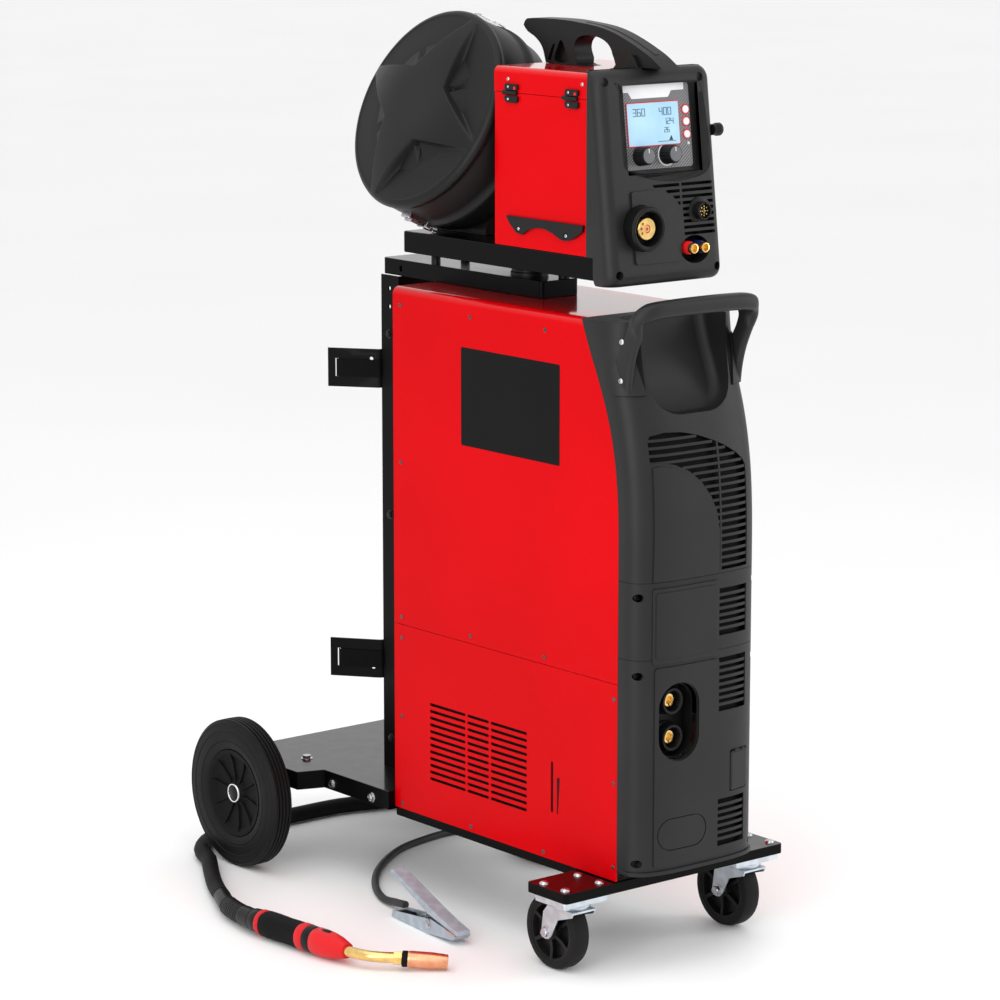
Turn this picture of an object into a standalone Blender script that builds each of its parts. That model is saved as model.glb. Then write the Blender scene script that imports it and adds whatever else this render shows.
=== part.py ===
"""MIG welder on a cart: an inverter power source with a wire feeder, spool drum, torch and earth clamp.

Metres, +Z up, the front of the machine faces -Y. Lengths are given in machine coordinates: X is
measured from the middle, Z from the floor and Y from the lower front edge of the cabinet's sides.
One empty, machine_frame, carries them all, so that the origin lies on the floor under the middle.
"""

import math

import bmesh
import bpy
from mathutils import Vector

# Driving dimensions
FRAME_MIDDLE_Y = 0.452
GAP = 0.0003
SHEET = 0.0016
PLATE = 0.003

CABINET_HALF = 0.124
CABINET_DEPTH = 0.552
CABINET_BASE = 0.143
CABINET_TOP = 0.997
COVER_SEAM = 0.450
COVER_DOOR_TURN = math.radians(11)
EDGE_RADIUS = 0.012

REAR_WHEEL_RADIUS = 0.125
REAR_WHEEL_WIDTH = 0.041
REAR_AXLE_Y = 0.837
REAR_TRACK_HALF = 0.252
AXLE_RADIUS = 0.010
RIM_RADIUS = 0.073

CASTER_X = 0.176
CASTER_Y = 0.043
CASTER_TRAIL = 0.033
CASTER_RADIUS = 0.060
CASTER_WIDTH = 0.034
CASTER_PLATE_TOP = 0.141
CASTER_PLATE_HALF = 0.2237
CASTER_PAD_HALF = 0.0445
CASTER_PAD_UNDERSIDE = 0.1350

SHELF_TOP = 0.169
SHELF_REAR = 0.940
SHELF_SKIRT = 0.138

MAST_HALF = 0.042
MAST_REAR = 0.690
BEAM_HALF = 0.038
BEAM_FRONT = 0.285
BEAM_TOP = 1.024

FEEDER_HALF = 0.110
FEEDER_FLOOR = 1.052
FEEDER_BOX_BASE = 1.086
FEEDER_BOX_TOP = 1.359
FEEDER_BOX_FRONT = 0.070
FEEDER_BOX_REAR = 0.312
FEEDER_BASE_REAR = 0.541
DOOR_TOP = 1.320
PIVOT_Y = 0.360

DRUM_RADIUS = 0.166
DRUM_FACE = Vector((-0.112, 0.483, 1.284))
DRUM_TILT = math.radians(24)
DRUM_AXIS = Vector((-math.cos(DRUM_TILT), 0, math.sin(DRUM_TILT)))
DRUM_UP = Vector((math.sin(DRUM_TILT), 0, math.cos(DRUM_TILT)))
DRUM_DOME = 0.026
DRUM_SEAM = 0.080
DRUM_DEPTH = 0.130

HOSE_RADIUS = 0.0135
HOSE_COIL_CENTRE = (0.315, 0.545)
HOSE_COIL_RADIUS = 0.150
EARTH_RADIUS = 0.0062
EARTH_COIL_CENTRE = (0.345, 0.795)
EARTH_COIL_RADIUS = 0.070

# Finishes: base colour, roughness, metallic
RED_PAINT = ((0.78, 0.004, 0.006), 0.18, 0.0)
BLACK_PAINT = ((0.012, 0.012, 0.013), 0.35, 0.0)
GREY_PLASTIC = ((0.045, 0.045, 0.048), 0.55, 0.0)
BLACK_PLASTIC = ((0.014, 0.014, 0.015), 0.45, 0.0)
BLACK_RUBBER = ((0.022, 0.022, 0.022), 0.75, 0.0)
ZINC = ((0.62, 0.63, 0.64), 0.30, 1.0)
STEEL = ((0.55, 0.55, 0.56), 0.28, 1.0)
BRASS = ((0.72, 0.50, 0.20), 0.25, 1.0)
COPPER = ((0.72, 0.33, 0.19), 0.28, 1.0)
ALUMINIUM = ((0.70, 0.70, 0.71), 0.40, 1.0)
TANK_PLASTIC = ((0.75, 0.76, 0.72), 0.40, 0.0)
RED_PLASTIC = ((0.60, 0.02, 0.02), 0.35, 0.0)
PANEL_GREY = ((0.30, 0.30, 0.31), 0.40, 0.0)

# Which way a flat outline faces: its own X, Y and thickness as machine axes
PLAN = (0.0, 0.0, 0.0)
SIDE = (math.pi / 2, 0.0, math.pi / 2)
FRONT = (math.pi / 2, 0.0, 0.0)


def clear_scene():
    for obj in list(bpy.data.objects):
        bpy.data.objects.remove(obj)


def new_collection(name, hidden):
    collection = bpy.data.collections.new(name)
    bpy.context.scene.collection.children.link(collection)
    collection.hide_render = hidden
    return collection


def new_machine_frame():
    frame = bpy.data.objects.new("machine_frame", None)
    PARTS.objects.link(frame)
    frame.location = (0, -FRAME_MIDDLE_Y, 0)
    return frame


def new_material(name, finish):
    colour, roughness, metallic = finish
    made = bpy.data.materials.new(name)
    made.use_nodes = True
    shader = made.node_tree.nodes["Principled BSDF"]
    shader.inputs["Base Color"].default_value = (*colour, 1)
    shader.inputs["Roughness"].default_value = roughness
    shader.inputs["Metallic"].default_value = metallic
    return made


def new_part(name, data, finish):
    """An object in the parts collection, or without a finish a helper in the cutters collection."""
    obj = bpy.data.objects.new(name, data)
    obj.parent = MACHINE
    if finish is None:
        CUTTERS.objects.link(obj)
        obj.hide_render = True
        obj.display_type = "WIRE"
    else:
        PARTS.objects.link(obj)
        data.materials.append(new_material(name, finish))
    return obj


def mesh_from(bm, name):
    mesh = bpy.data.meshes.new(name)
    bm.to_mesh(mesh)
    bm.free()
    return mesh


def turn_to(obj, axis, up="Y"):
    obj.rotation_euler = Vector(axis).to_track_quat("Z", up).to_euler()


def add_bevel(obj, width, segments=2):
    bevel = obj.modifiers.new("rounded_edges", "BEVEL")
    bevel.width = width
    bevel.segments = segments
    bevel.limit_method = "ANGLE"


def box(name, low, high, finish=None, bevel=0.0):
    bm = bmesh.new()
    bmesh.ops.create_cube(bm, size=1.0)
    bmesh.ops.scale(bm, vec=Vector(high) - Vector(low), verts=bm.verts)
    obj = new_part(name, mesh_from(bm, name), finish)
    obj.location = (Vector(low) + Vector(high)) / 2
    if bevel:
        add_bevel(obj, bevel)
    return obj


def rod(name, start, end, radius, finish=None, sides=20, end_radius=None):
    start = Vector(start)
    end = Vector(end)
    bm = bmesh.new()
    bmesh.ops.create_cone(
        bm,
        cap_ends=True,
        segments=sides,
        radius1=radius,
        radius2=radius if end_radius is None else end_radius,
        depth=(end - start).length,
    )
    mesh = mesh_from(bm, name)
    mesh.shade_smooth()
    mesh.set_sharp_from_angle(angle=math.radians(40))
    obj = new_part(name, mesh, finish)
    obj.location = (start + end) / 2
    turn_to(obj, end - start)
    return obj


def turned(name, profile, location, axis, finish=None, sides=32, closed=False):
    """A solid turned about its own Z, from (radius, height) points that run down its outer side."""
    bm = bmesh.new()
    verts = [bm.verts.new((radius, 0, height)) for radius, height in profile]
    for first, second in zip(verts, verts[1:]):
        bm.edges.new((first, second))
    if closed:
        bm.edges.new((verts[-1], verts[0]))
    obj = new_part(name, mesh_from(bm, name), finish)
    screw = obj.modifiers.new("turned", "SCREW")
    screw.steps = sides
    screw.render_steps = sides
    screw.use_merge_vertices = True
    screw.merge_threshold = 0.00001
    obj.location = location
    turn_to(obj, axis)
    return obj


def prism(name, outline, low, high, view, finish=None, bevel=0.0):
    """A flat outline given a thickness from low to high along the axis that it faces."""
    bm = bmesh.new()
    verts = [bm.verts.new((x, y, 0)) for x, y in outline]
    bm.faces.new(verts)
    bmesh.ops.recalc_face_normals(bm, faces=bm.faces)
    obj = new_part(name, mesh_from(bm, name), finish)
    middle = (low + high) / 2
    obj.location = {PLAN: (0, 0, middle), SIDE: (middle, 0, 0), FRONT: (0, middle, 0)}[view]
    obj.rotation_euler = view
    solid = obj.modifiers.new("thickness", "SOLIDIFY")
    solid.thickness = high - low
    solid.offset = 0
    if bevel:
        add_bevel(obj, bevel)
    return obj


def bent_sheet(name, path, low, high, view, thickness, finish=None):
    """A sheet that follows an open path, seen edge on, and runs from low to high across it."""
    bm = bmesh.new()
    lower = [bm.verts.new((x, y, low)) for x, y in path]
    upper = [bm.verts.new((x, y, high)) for x, y in path]
    for i in range(len(path) - 1):
        bm.faces.new((lower[i], lower[i + 1], upper[i + 1], upper[i]))
    obj = new_part(name, mesh_from(bm, name), finish)
    obj.rotation_euler = view
    solid = obj.modifiers.new("thickness", "SOLIDIFY")
    solid.thickness = thickness
    solid.offset = 0
    solid.use_even_offset = True
    return obj


def loft(name, sections, finish=None):
    """A closed solid through rings of points that have the same number of points."""
    bm = bmesh.new()
    rings = [[bm.verts.new(point) for point in section] for section in sections]
    for lower, upper in zip(rings, rings[1:]):
        for i in range(len(lower)):
            j = (i + 1) % len(lower)
            bm.faces.new((lower[i], lower[j], upper[j], upper[i]))
    bm.faces.new(rings[0])
    bm.faces.new(rings[-1])
    bmesh.ops.recalc_face_normals(bm, faces=bm.faces)
    mesh = mesh_from(bm, name)
    mesh.shade_smooth()
    mesh.set_sharp_from_angle(angle=math.radians(40))
    return new_part(name, mesh, finish)


def smooth_route(points, spacing):
    """Points about spacing apart on a smooth curve through the given ones."""
    ends = [Vector(p) for p in points]
    ends = [ends[0] * 2 - ends[1], *ends, ends[-1] * 2 - ends[-2]]
    route = []
    for a, b, c, d in zip(ends, ends[1:], ends[2:], ends[3:]):
        steps = max(1, round((c - b).length / spacing))
        for i in range(steps):
            t = i / steps
            bend = (2 * a - 5 * b + 4 * c - d) * t * t + (3 * b - a - 3 * c + d) * t * t * t
            route.append(0.5 * (2 * b + (c - a) * t + bend))
    return [*route, ends[-2]]


def curve_tube(name, route, radius, finish=None, roundness=3):
    curve = bpy.data.curves.new(name, "CURVE")
    curve.dimensions = "3D"
    curve.bevel_depth = radius
    curve.bevel_resolution = roundness
    curve.use_fill_caps = True
    spline = curve.splines.new("POLY")
    spline.points.add(len(route) - 1)
    for point, place in zip(spline.points, route):
        point.co = (*place, 1)
    return new_part(name, curve, finish)


def solid_tube(name, route, radius, finish=None, roundness=3):
    """A tube as a welded mesh, so that it can be cut or joined."""
    guide = curve_tube(name + "_guide", route, radius, None, roundness)
    guide.parent = None
    bpy.context.view_layer.update()
    graph = bpy.context.evaluated_depsgraph_get()
    mesh = bpy.data.meshes.new_from_object(guide.evaluated_get(graph))
    bpy.data.objects.remove(guide)
    bm = bmesh.new()
    bm.from_mesh(mesh)
    bmesh.ops.remove_doubles(bm, verts=bm.verts, dist=0.00001)
    bmesh.ops.recalc_face_normals(bm, faces=bm.faces)
    bm.to_mesh(mesh)
    bm.free()
    mesh.materials.clear()
    return new_part(name, mesh, finish)


def boolean(obj, other, operation):
    modifier = obj.modifiers.new(operation.lower(), "BOOLEAN")
    modifier.operation = operation
    modifier.object = other


def cut(obj, *cutters):
    for cutter in cutters:
        boolean(obj, cutter, "DIFFERENCE")


def join(obj, *others):
    for other in others:
        boolean(obj, other, "UNION")


def arc(centre, radius, start_deg, end_deg, steps):
    angles = [start_deg + (end_deg - start_deg) * i / steps for i in range(steps + 1)]
    spots = [(math.cos(math.radians(a)), math.sin(math.radians(a))) for a in angles]
    return [(centre[0] + radius * c, centre[1] + radius * s) for c, s in spots]


def rounded_rectangle(low, high, radius, steps=4):
    (x0, y0), (x1, y1) = low, high
    corners = [
        ((x1 - radius, y0 + radius), -90),
        ((x1 - radius, y1 - radius), 0),
        ((x0 + radius, y1 - radius), 90),
        ((x0 + radius, y0 + radius), 180),
    ]
    return [p for spot, first in corners for p in arc(spot, radius, first, first + 90, steps)]


def both_sides():
    return (("left", -1), ("right", 1))


# --- Chassis -------------------------------------------------------------------------------


def make_base_pan():
    top = CABINET_BASE + 0.0016
    pan = box("base_pan", (-0.1215, 0.004, 0.128), (0.1215, CABINET_DEPTH, top), BLACK_PAINT)
    under = box("base_pan_hollow", (-0.1185, -0.01, 0.120), (0.1185, 0.6, top - PLATE))
    plate_room = box("caster_plate_room", (-0.2, -0.01, 0.120), (0.2, 0.0945, CASTER_PLATE_TOP + GAP))
    cut(pan, under, plate_room)


def make_caster_plate():
    half = CASTER_PLATE_HALF
    outline = rounded_rectangle((-half, 0.0), (half, 0.094), 0.006, 2)
    plate = prism("caster_plate", outline, 0.125, CASTER_PLATE_TOP, PLAN, BLACK_PAINT)
    inner = rounded_rectangle((PLATE - half, PLATE), (half - PLATE, 0.094 - PLATE), 0.004, 2)
    cut(plate, prism("caster_plate_hollow", inner, 0.110, CASTER_PLATE_TOP - PLATE, PLAN))
    for side, sign in both_sides():
        low = (sign * CASTER_X - CASTER_PAD_HALF, 0.0035, CASTER_PAD_UNDERSIDE)
        high = (sign * CASTER_X + CASTER_PAD_HALF, 0.0855, CASTER_PLATE_TOP - 0.001)
        join(plate, box(f"caster_pad_{side}", low, high))


def shelf_outline(inset):
    """Half width 137 mm beside the cabinet, then flared to carry the wheels."""
    front = CABINET_DEPTH + GAP + inset
    rear = SHELF_REAR - inset
    right = [(0.137 - inset, front), (0.137 - inset, 0.730), (0.181 - inset, 0.746 + inset)]
    right.append((0.181 - inset, rear))
    return right + [(-x, y) for x, y in reversed(right)]


def make_bottle_shelf():
    shelf = prism("bottle_shelf", shelf_outline(0.0), SHELF_SKIRT, SHELF_TOP, PLAN, BLACK_PAINT)
    cut(shelf, prism("shelf_hollow", shelf_outline(PLATE), 0.100, SHELF_TOP - PLATE, PLAN))
    for side, sign in both_sides():
        low = (sign * 0.150 - 0.003, REAR_AXLE_Y - 0.030, 0.105)
        high = (sign * 0.150 + 0.003, REAR_AXLE_Y + 0.030, SHELF_TOP - 0.001)
        join(shelf, box(f"axle_ear_{side}", low, high))
    start = (-0.170, REAR_AXLE_Y, REAR_WHEEL_RADIUS)
    end = (0.170, REAR_AXLE_Y, REAR_WHEEL_RADIUS)
    cut(shelf, rod("axle_ear_bore", start, end, AXLE_RADIUS + GAP, sides=24))


def make_rear_axle():
    reach = REAR_TRACK_HALF - 0.006
    ends = [(sign * reach, REAR_AXLE_Y, REAR_WHEEL_RADIUS) for sign in (-1, 1)]
    rod("rear_axle", ends[0], ends[1], AXLE_RADIUS - 0.0002, STEEL, sides=24)


def rim_profile():
    """Hub, thin web and barrel of the wheel, outboard side up."""
    half = REAR_WHEEL_WIDTH / 2
    outer = [(0.020, half), (0.024, 0.006), (0.066, 0.006), (0.067, half - 0.002)]
    barrel = [(RIM_RADIUS, half - 0.001), (RIM_RADIUS, 0.001 - half), (0.067, 0.002 - half)]
    inner = [(0.066, 0.0), (0.024, 0.0), (0.020, -half), (AXLE_RADIUS + GAP, -half)]
    return [(AXLE_RADIUS + GAP, half), *outer, *barrel, *inner]


def tyre_profile():
    """Solid rubber tyre with rounded shoulders and a flat tread."""
    half = REAR_WHEEL_WIDTH / 2
    bore = RIM_RADIUS + GAP
    top = [(bore, half - 0.001), (0.084, half), (0.108, half - 0.001), (0.119, half - 0.005)]
    tread = [(0.1243, half - 0.011), (REAR_WHEEL_RADIUS, half - 0.017)]
    upper = top + tread
    return upper + [(r, -z) for r, z in reversed(upper)]


def make_rear_wheels():
    centre_x = REAR_TRACK_HALF - REAR_WHEEL_WIDTH / 2
    for side, sign in both_sides():
        spot = (sign * centre_x, REAR_AXLE_Y, REAR_WHEEL_RADIUS)
        axis = (sign, 0, 0)
        turned(f"rear_rim_{side}", rim_profile(), spot, axis, BLACK_PLASTIC, 32, closed=True)
        turned(f"rear_tyre_{side}", tyre_profile(), spot, axis, BLACK_RUBBER, 32, closed=True)


def fork_outline():
    """Side view of a caster fork, from the crown down to the wheel bolt behind it."""
    hub_y = CASTER_Y + CASTER_TRAIL
    hub = arc((hub_y, CASTER_RADIUS), 0.014, 10, -170, 6)
    front = [(CASTER_Y - 0.028, 0.1335), (CASTER_Y - 0.030, 0.122)]
    return [*front, *reversed(hub), (CASTER_Y + 0.030, 0.1335)]


def make_caster(side, sign):
    x = sign * CASTER_X
    fork = prism(f"caster_fork_{side}", fork_outline(), x - 0.0235, x + 0.0235, SIDE, ZINC)
    inside = CASTER_WIDTH / 2 + 0.003
    cut(fork, box(f"fork_slot_{side}", (x - inside, -0.1, 0.030), (x + inside, 0.2, 0.1295)))
    wheel_y = CASTER_Y + CASTER_TRAIL
    ends = [(x + reach, wheel_y, CASTER_RADIUS) for reach in (-0.0265, 0.0265)]
    join(fork, rod(f"caster_bolt_{side}", ends[0], ends[1], 0.005, sides=12))
    race_top = (x, CASTER_Y, CASTER_PAD_UNDERSIDE - GAP)
    join(fork, rod(f"swivel_race_{side}", (x, CASTER_Y, 0.129), race_top, 0.027))
    half = CASTER_WIDTH / 2
    hub = [(0.0053, half + 0.002), (0.013, half + 0.002), (0.015, 0.005), (0.041, 0.005)]
    tyre = [(0.043, half), (0.054, half), (CASTER_RADIUS, half - 0.007)]
    upper = hub + tyre
    profile = upper + [(r, -z) for r, z in reversed(upper)]
    spot = (x, wheel_y, CASTER_RADIUS)
    turned(f"caster_wheel_{side}", profile, spot, (sign, 0, 0), BLACK_RUBBER, 24, closed=True)


# --- Mast, beam and gas bottle brackets ----------------------------------------------------


def make_mast():
    """Folded channel, open towards the cabinet, that stands on the shelf."""
    side = MAST_HALF - PLATE / 2
    rear = MAST_REAR - PLATE / 2
    path = [(-side, rear - 0.045), (-side, rear), (side, rear), (side, rear - 0.045)]
    bent_sheet("mast", path, SHELF_TOP + GAP, 0.9965, PLAN, PLATE, BLACK_PAINT)


def make_top_beam():
    """Folded channel over the cabinet, with the feeder's pivot and two rest posts on it."""
    low = CABINET_TOP + GAP
    high = (BEAM_HALF, MAST_REAR, BEAM_TOP)
    beam = box("top_beam", (-BEAM_HALF, BEAM_FRONT, low), high, BLACK_PAINT)
    hollow = (0.004 - BEAM_HALF, BEAM_FRONT + 0.004, low - 0.01)
    cut(beam, box("beam_hollow", hollow, (BEAM_HALF - 0.004, MAST_REAR - 0.004, BEAM_TOP - 0.004)))
    root = (0, PIVOT_Y, BEAM_TOP - 0.002)
    join(beam, rod("feeder_pivot", root, (0, PIVOT_Y, FEEDER_FLOOR + 0.016), 0.016, sides=24))
    join(beam, rod("pivot_collar", root, (0, PIVOT_Y, FEEDER_FLOOR - GAP), 0.030))
    stop = (0.018, BEAM_FRONT, low + 0.004)
    join(beam, rod("front_stop", stop, (0.018, BEAM_FRONT, 1.040), 0.009, sides=16))


def bracket_path():
    """Plan view of a V shaped bottle bracket: a back plate on the mast and two swept wings."""
    back = MAST_REAR + 0.0022
    right = [(0.036, back), (0.045, back + 0.003), (0.097, 0.763)]
    return [(-x, y) for x, y in reversed(right)] + right


def make_bottle_brackets():
    for name, low, high in (("lower", 0.319, 0.384), ("upper", 0.808, 0.872)):
        bent_sheet(f"bottle_bracket_{name}", bracket_path(), low, high, PLAN, PLATE, BLACK_PAINT)


# --- Cabinet ---------------------------------------------------------------------------------

# Height and Y of the line where the sides meet the front moulding
FRONT_LINE = ((0.100, 0.0), (0.650, 0.0), (0.752, 0.004), (0.821, 0.016), (0.865, 0.030),
              (0.908, 0.048), (0.950, 0.068), (1.010, 0.093))
# Height and Y of the moulding's middle
NOSE_LINE = ((0.100, -0.058), (0.620, -0.058), (0.700, -0.056), (0.780, -0.048), (0.850, -0.034),
             (0.900, -0.020), (0.950, -0.012), (1.010, -0.010))


def on_line(line, height):
    for (z0, y0), (z1, y1) in zip(line, line[1:]):
        if height <= z1:
            return y0 + (y1 - y0) * (height - z0) / (z1 - z0)
    return line[-1][1]


def front_cut(name):
    """Everything in front of the line where the sides end."""
    outline = [(y, z) for z, y in FRONT_LINE] + [(-0.1, 1.010), (-0.1, 0.100)]
    return prism(name, outline, -0.2, 0.2, SIDE)


def make_upper_cover():
    """One bent sheet: the upper left side, the top and the upper right side."""
    side = CABINET_HALF - SHEET / 2
    top = CABINET_TOP - SHEET / 2
    corner = side - EDGE_RADIUS
    right = [(side, COVER_SEAM + GAP), *arc((corner, top - EDGE_RADIUS), EDGE_RADIUS, 0, 90, 4)]
    path = [(-x, z) for x, z in right] + list(reversed(right))
    cover = bent_sheet("upper_cover", path, -CABINET_DEPTH, 0.0, FRONT, SHEET, RED_PAINT)
    cut(cover, front_cut("upper_cover_front"))


def make_lower_panels():
    for side, sign in both_sides():
        xs = sorted((sign * CABINET_HALF, sign * (CABINET_HALF - SHEET)))
        low = (xs[0], 0.0, CABINET_BASE)
        box(f"lower_panel_{side}", low, (xs[1], CABINET_DEPTH, COVER_SEAM - GAP), RED_PAINT)


def make_rear_panel():
    half = CABINET_HALF - SHEET - GAP
    top = CABINET_TOP - SHEET - GAP
    outline = rounded_rectangle((-half, CABINET_BASE + 0.002), (half, top), EDGE_RADIUS)
    panel = prism("rear_panel", outline, 0.546, 0.548, FRONT, ALUMINIUM)
    hole = rod("fan_opening", (0, 0.52, 0.70), (0, 0.57, 0.70), 0.072, sides=32)
    cut(panel, hole)


def make_inside():
    tray = box("power_module", (-0.121, 0.060, 0.452), (0.121, 0.480, 0.455), ALUMINIUM)
    join(tray, box("module_block", (-0.100, 0.090, 0.454), (0.100, 0.455, 0.860)))
    for i in range(4):
        x = -0.066 + 0.044 * i
        cut(tray, box(f"fin_gap_{i}", (x - 0.010, 0.05, 0.70), (x + 0.010, 0.5, 0.90)))
    base = CABINET_BASE + 0.0016 + GAP
    tank = box("coolant_tank", (-0.112, 0.060, base), (0.100, 0.420, 0.400), TANK_PLASTIC, 0.008)
    join(tank, rod("tank_neck", (-0.060, 0.100, 0.395), (-0.060, 0.100, 0.435), 0.022))


def make_fan():
    centre = Vector((0, 0.520, 0.700))
    along = Vector((0, 0.016, 0))
    fan = rod("cooling_fan", centre - along, centre + along, 0.024, BLACK_PLASTIC, 20)
    for i in range(5):
        angle = math.tau * i / 5
        blade = box(f"fan_blade_{i}", (-0.023, -0.0015, -0.024), (0.023, 0.0015, 0.024))
        blade.location = centre + Vector((math.cos(angle), 0, math.sin(angle))) * 0.044
        blade.rotation_mode = "YXZ"
        blade.rotation_euler = (math.radians(35), -angle, 0)
        join(fan, blade)


# --- Front mouldings -----------------------------------------------------------------------


def moulding_ring(height, inset):
    """Plan section of the front at one height: a superellipse from side to side."""
    rear = on_line(FRONT_LINE, height) - 2 * GAP
    depth = rear - on_line(NOSE_LINE, height) - inset
    half = CABINET_HALF - inset
    ring = []
    for i in range(17):
        angle = math.pi * i / 16
        across = abs(math.cos(angle)) ** (2 / 3.4)
        forward = abs(math.sin(angle)) ** (2 / 3.4)
        ring.append((math.copysign(across, -math.cos(angle)) * half, rear - depth * forward, height))
    if inset:
        ring[0] = (-half, rear + 0.02, height)
        ring[-1] = (half, rear + 0.02, height)
    return ring


def moulding(name, heights, hollow_heights):
    shell = loft(name, [moulding_ring(z, 0.0) for z in heights], GREY_PLASTIC)
    wall = 0.003
    cut(shell, loft(name + "_hollow", [moulding_ring(z, wall) for z in hollow_heights]))
    return shell


# Height, half width and back of the recess that leaves room for a hand behind the handle
HAND_POCKET = ((0.864, 0.052, -0.010), (0.870, 0.066, -0.004), (0.880, 0.075, 0.006),
               (0.900, 0.081, 0.020), (0.950, 0.085, 0.046), (1.020, 0.087, 0.062))


def make_hand_pocket():
    rings = []
    for height, half, back in HAND_POCKET:
        corners = [(-half, -0.1), (half, -0.1), (half, back), (-half, back)]
        rings.append([(x, y, height) for x, y in corners])
    return loft("hand_pocket", rings)


def at_cover_door(obj):
    """Sets a box that is centred on the small door in the lower moulding in its place."""
    obj.location = (0.078, -0.0525, 0.298)
    obj.rotation_euler = (0, 0, COVER_DOOR_TURN)
    return obj


def make_front_mouldings():
    bends = sorted({z for z, _ in FRONT_LINE + NOSE_LINE if 0.62 < z < CABINET_TOP})
    hollow = [z for z in bends if z < 0.860]
    upper = moulding("front_upper", (0.6103, *bends, CABINET_TOP), (0.6133, *hollow))
    cut(upper, make_hand_pocket())
    moulding("front_middle", (0.4923, 0.6097), (0.4953, 0.6067))
    lower = moulding("front_lower", (0.1573, 0.4917), (0.1603, 0.4887))
    recess = rounded_rectangle((-0.0845, 0.333), (-0.0105, 0.452), 0.0365, 6)
    cut(lower, prism("socket_recess_hole", recess, -0.2, -0.020, FRONT))
    room = box("cover_door_recess", (-0.0200, -0.02, -0.0325), (0.0200, 0.0025, 0.0325))
    cut(lower, at_cover_door(room))


def make_handle_bar():
    """A bar across the top in one piece with the two lugs that screw to the moulding."""
    right = [(0.1065, -0.0255, 0.890), (0.1065, -0.0225, 0.930), (0.107, -0.0260, 0.970)]
    right += [(0.106, -0.0335, 0.998), (0.097, -0.0375, 1.014), (0.080, -0.0385, 1.0175)]
    left = [(-x, y, z) for x, y, z in right]
    solid_tube("handle_bar", smooth_route(left + right[::-1], 0.018), 0.0125, GREY_PLASTIC, 2)


def make_front_fittings():
    rim = rounded_rectangle((-0.0841, 0.3334), (-0.0109, 0.4516), 0.0360, 6)
    sockets = prism("weld_sockets", rim, -0.043, -0.0165, FRONT, BLACK_PLASTIC)
    cup = rounded_rectangle((-0.0816, 0.3359), (-0.0134, 0.4491), 0.0336, 6)
    cut(sockets, prism("socket_cup", cup, -0.1, -0.0195, FRONT))
    for i, z in enumerate((0.421, 0.364)):
        seat = (-0.0475, -0.018, z)
        join(sockets, rod(f"socket_collar_{i}", seat, (-0.0475, -0.040, z), 0.0205, sides=24))
        floor = (-0.0475, -0.021, z)
        cut(sockets, rod(f"socket_bore_{i}", floor, (-0.0475, -0.050, z), 0.009, sides=16))
    low = (-0.0195, -0.0015, -0.0320)
    at_cover_door(box("socket_cover", low, (0.0195, 0.0015, 0.0320), GREY_PLASTIC))


# --- Wire feeder ---------------------------------------------------------------------------


def make_feeder_base():
    """Tray with folded sides that turns on the beam's pivot."""
    low = (-FEEDER_HALF, 0.074, FEEDER_FLOOR)
    high = (FEEDER_HALF, FEEDER_BASE_REAR, FEEDER_BOX_BASE - GAP)
    base = box("feeder_base", low, high, BLACK_PAINT)
    inner = FEEDER_HALF - PLATE
    cut(base, box("base_hollow", (-inner, 0.077, FEEDER_FLOOR + 0.004), (inner, 0.330, 1.10)))
    under_top = (inner, FEEDER_BASE_REAR - PLATE, FEEDER_BOX_BASE - 0.0033)
    cut(base, box("base_under", (-inner, 0.334, FEEDER_FLOOR - 0.01), under_top))
    boss_top = (0, PIVOT_Y, FEEDER_BOX_BASE - 0.002)
    join(base, rod("pivot_boss", (0, PIVOT_Y, FEEDER_FLOOR), boss_top, 0.032, sides=24))
    bore_top = (0, PIVOT_Y, FEEDER_FLOOR + 0.018)
    cut(base, rod("pivot_bore", (0, PIVOT_Y, FEEDER_FLOOR - 0.01), bore_top, 0.0165, sides=24))


def make_feeder_cover():
    """Bent sheet: right side, top and the strip that the door hangs from, with a welded back."""
    side = FEEDER_HALF - SHEET / 2
    top = FEEDER_BOX_TOP - SHEET / 2
    bend = arc((side - 0.010, top - 0.010), 0.010, 0, 90, 3)
    left = [(-x, z) for x, z in bend]
    path = [(-side, DOOR_TOP + GAP), *left, *reversed(bend), (side, FEEDER_BOX_BASE)]
    cover = bent_sheet("feeder_cover", path, -FEEDER_BOX_REAR, -0.090, FRONT, SHEET, RED_PAINT)
    rear_low = (-side - SHEET / 2, FEEDER_BOX_REAR - SHEET, FEEDER_BOX_BASE)
    back = box("feeder_back", rear_low, (side, FEEDER_BOX_REAR, FEEDER_BOX_TOP - 0.004))
    join(cover, back)
    cut(cover, rod("wire_entry", (0.0, 0.29, 1.20), (0.0, 0.33, 1.20), 0.012))


def make_feeder_door():
    low = (-FEEDER_HALF, 0.090, FEEDER_BOX_BASE + GAP)
    high = (SHEET - FEEDER_HALF, FEEDER_BOX_REAR - SHEET - GAP, DOOR_TOP - GAP)
    door = box("feeder_door", low, high, RED_PAINT)
    pull = [(0.105, 1.128), (0.123, 1.112), (0.150, 1.110), (0.190, 1.116), (0.232, 1.108),
            (0.258, 1.112), (0.272, 1.134), (0.235, 1.138), (0.190, 1.142), (0.145, 1.138)]
    join(door, prism("door_pull", pull, -FEEDER_HALF - 0.005, 0.001 - FEEDER_HALF, SIDE))


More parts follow.
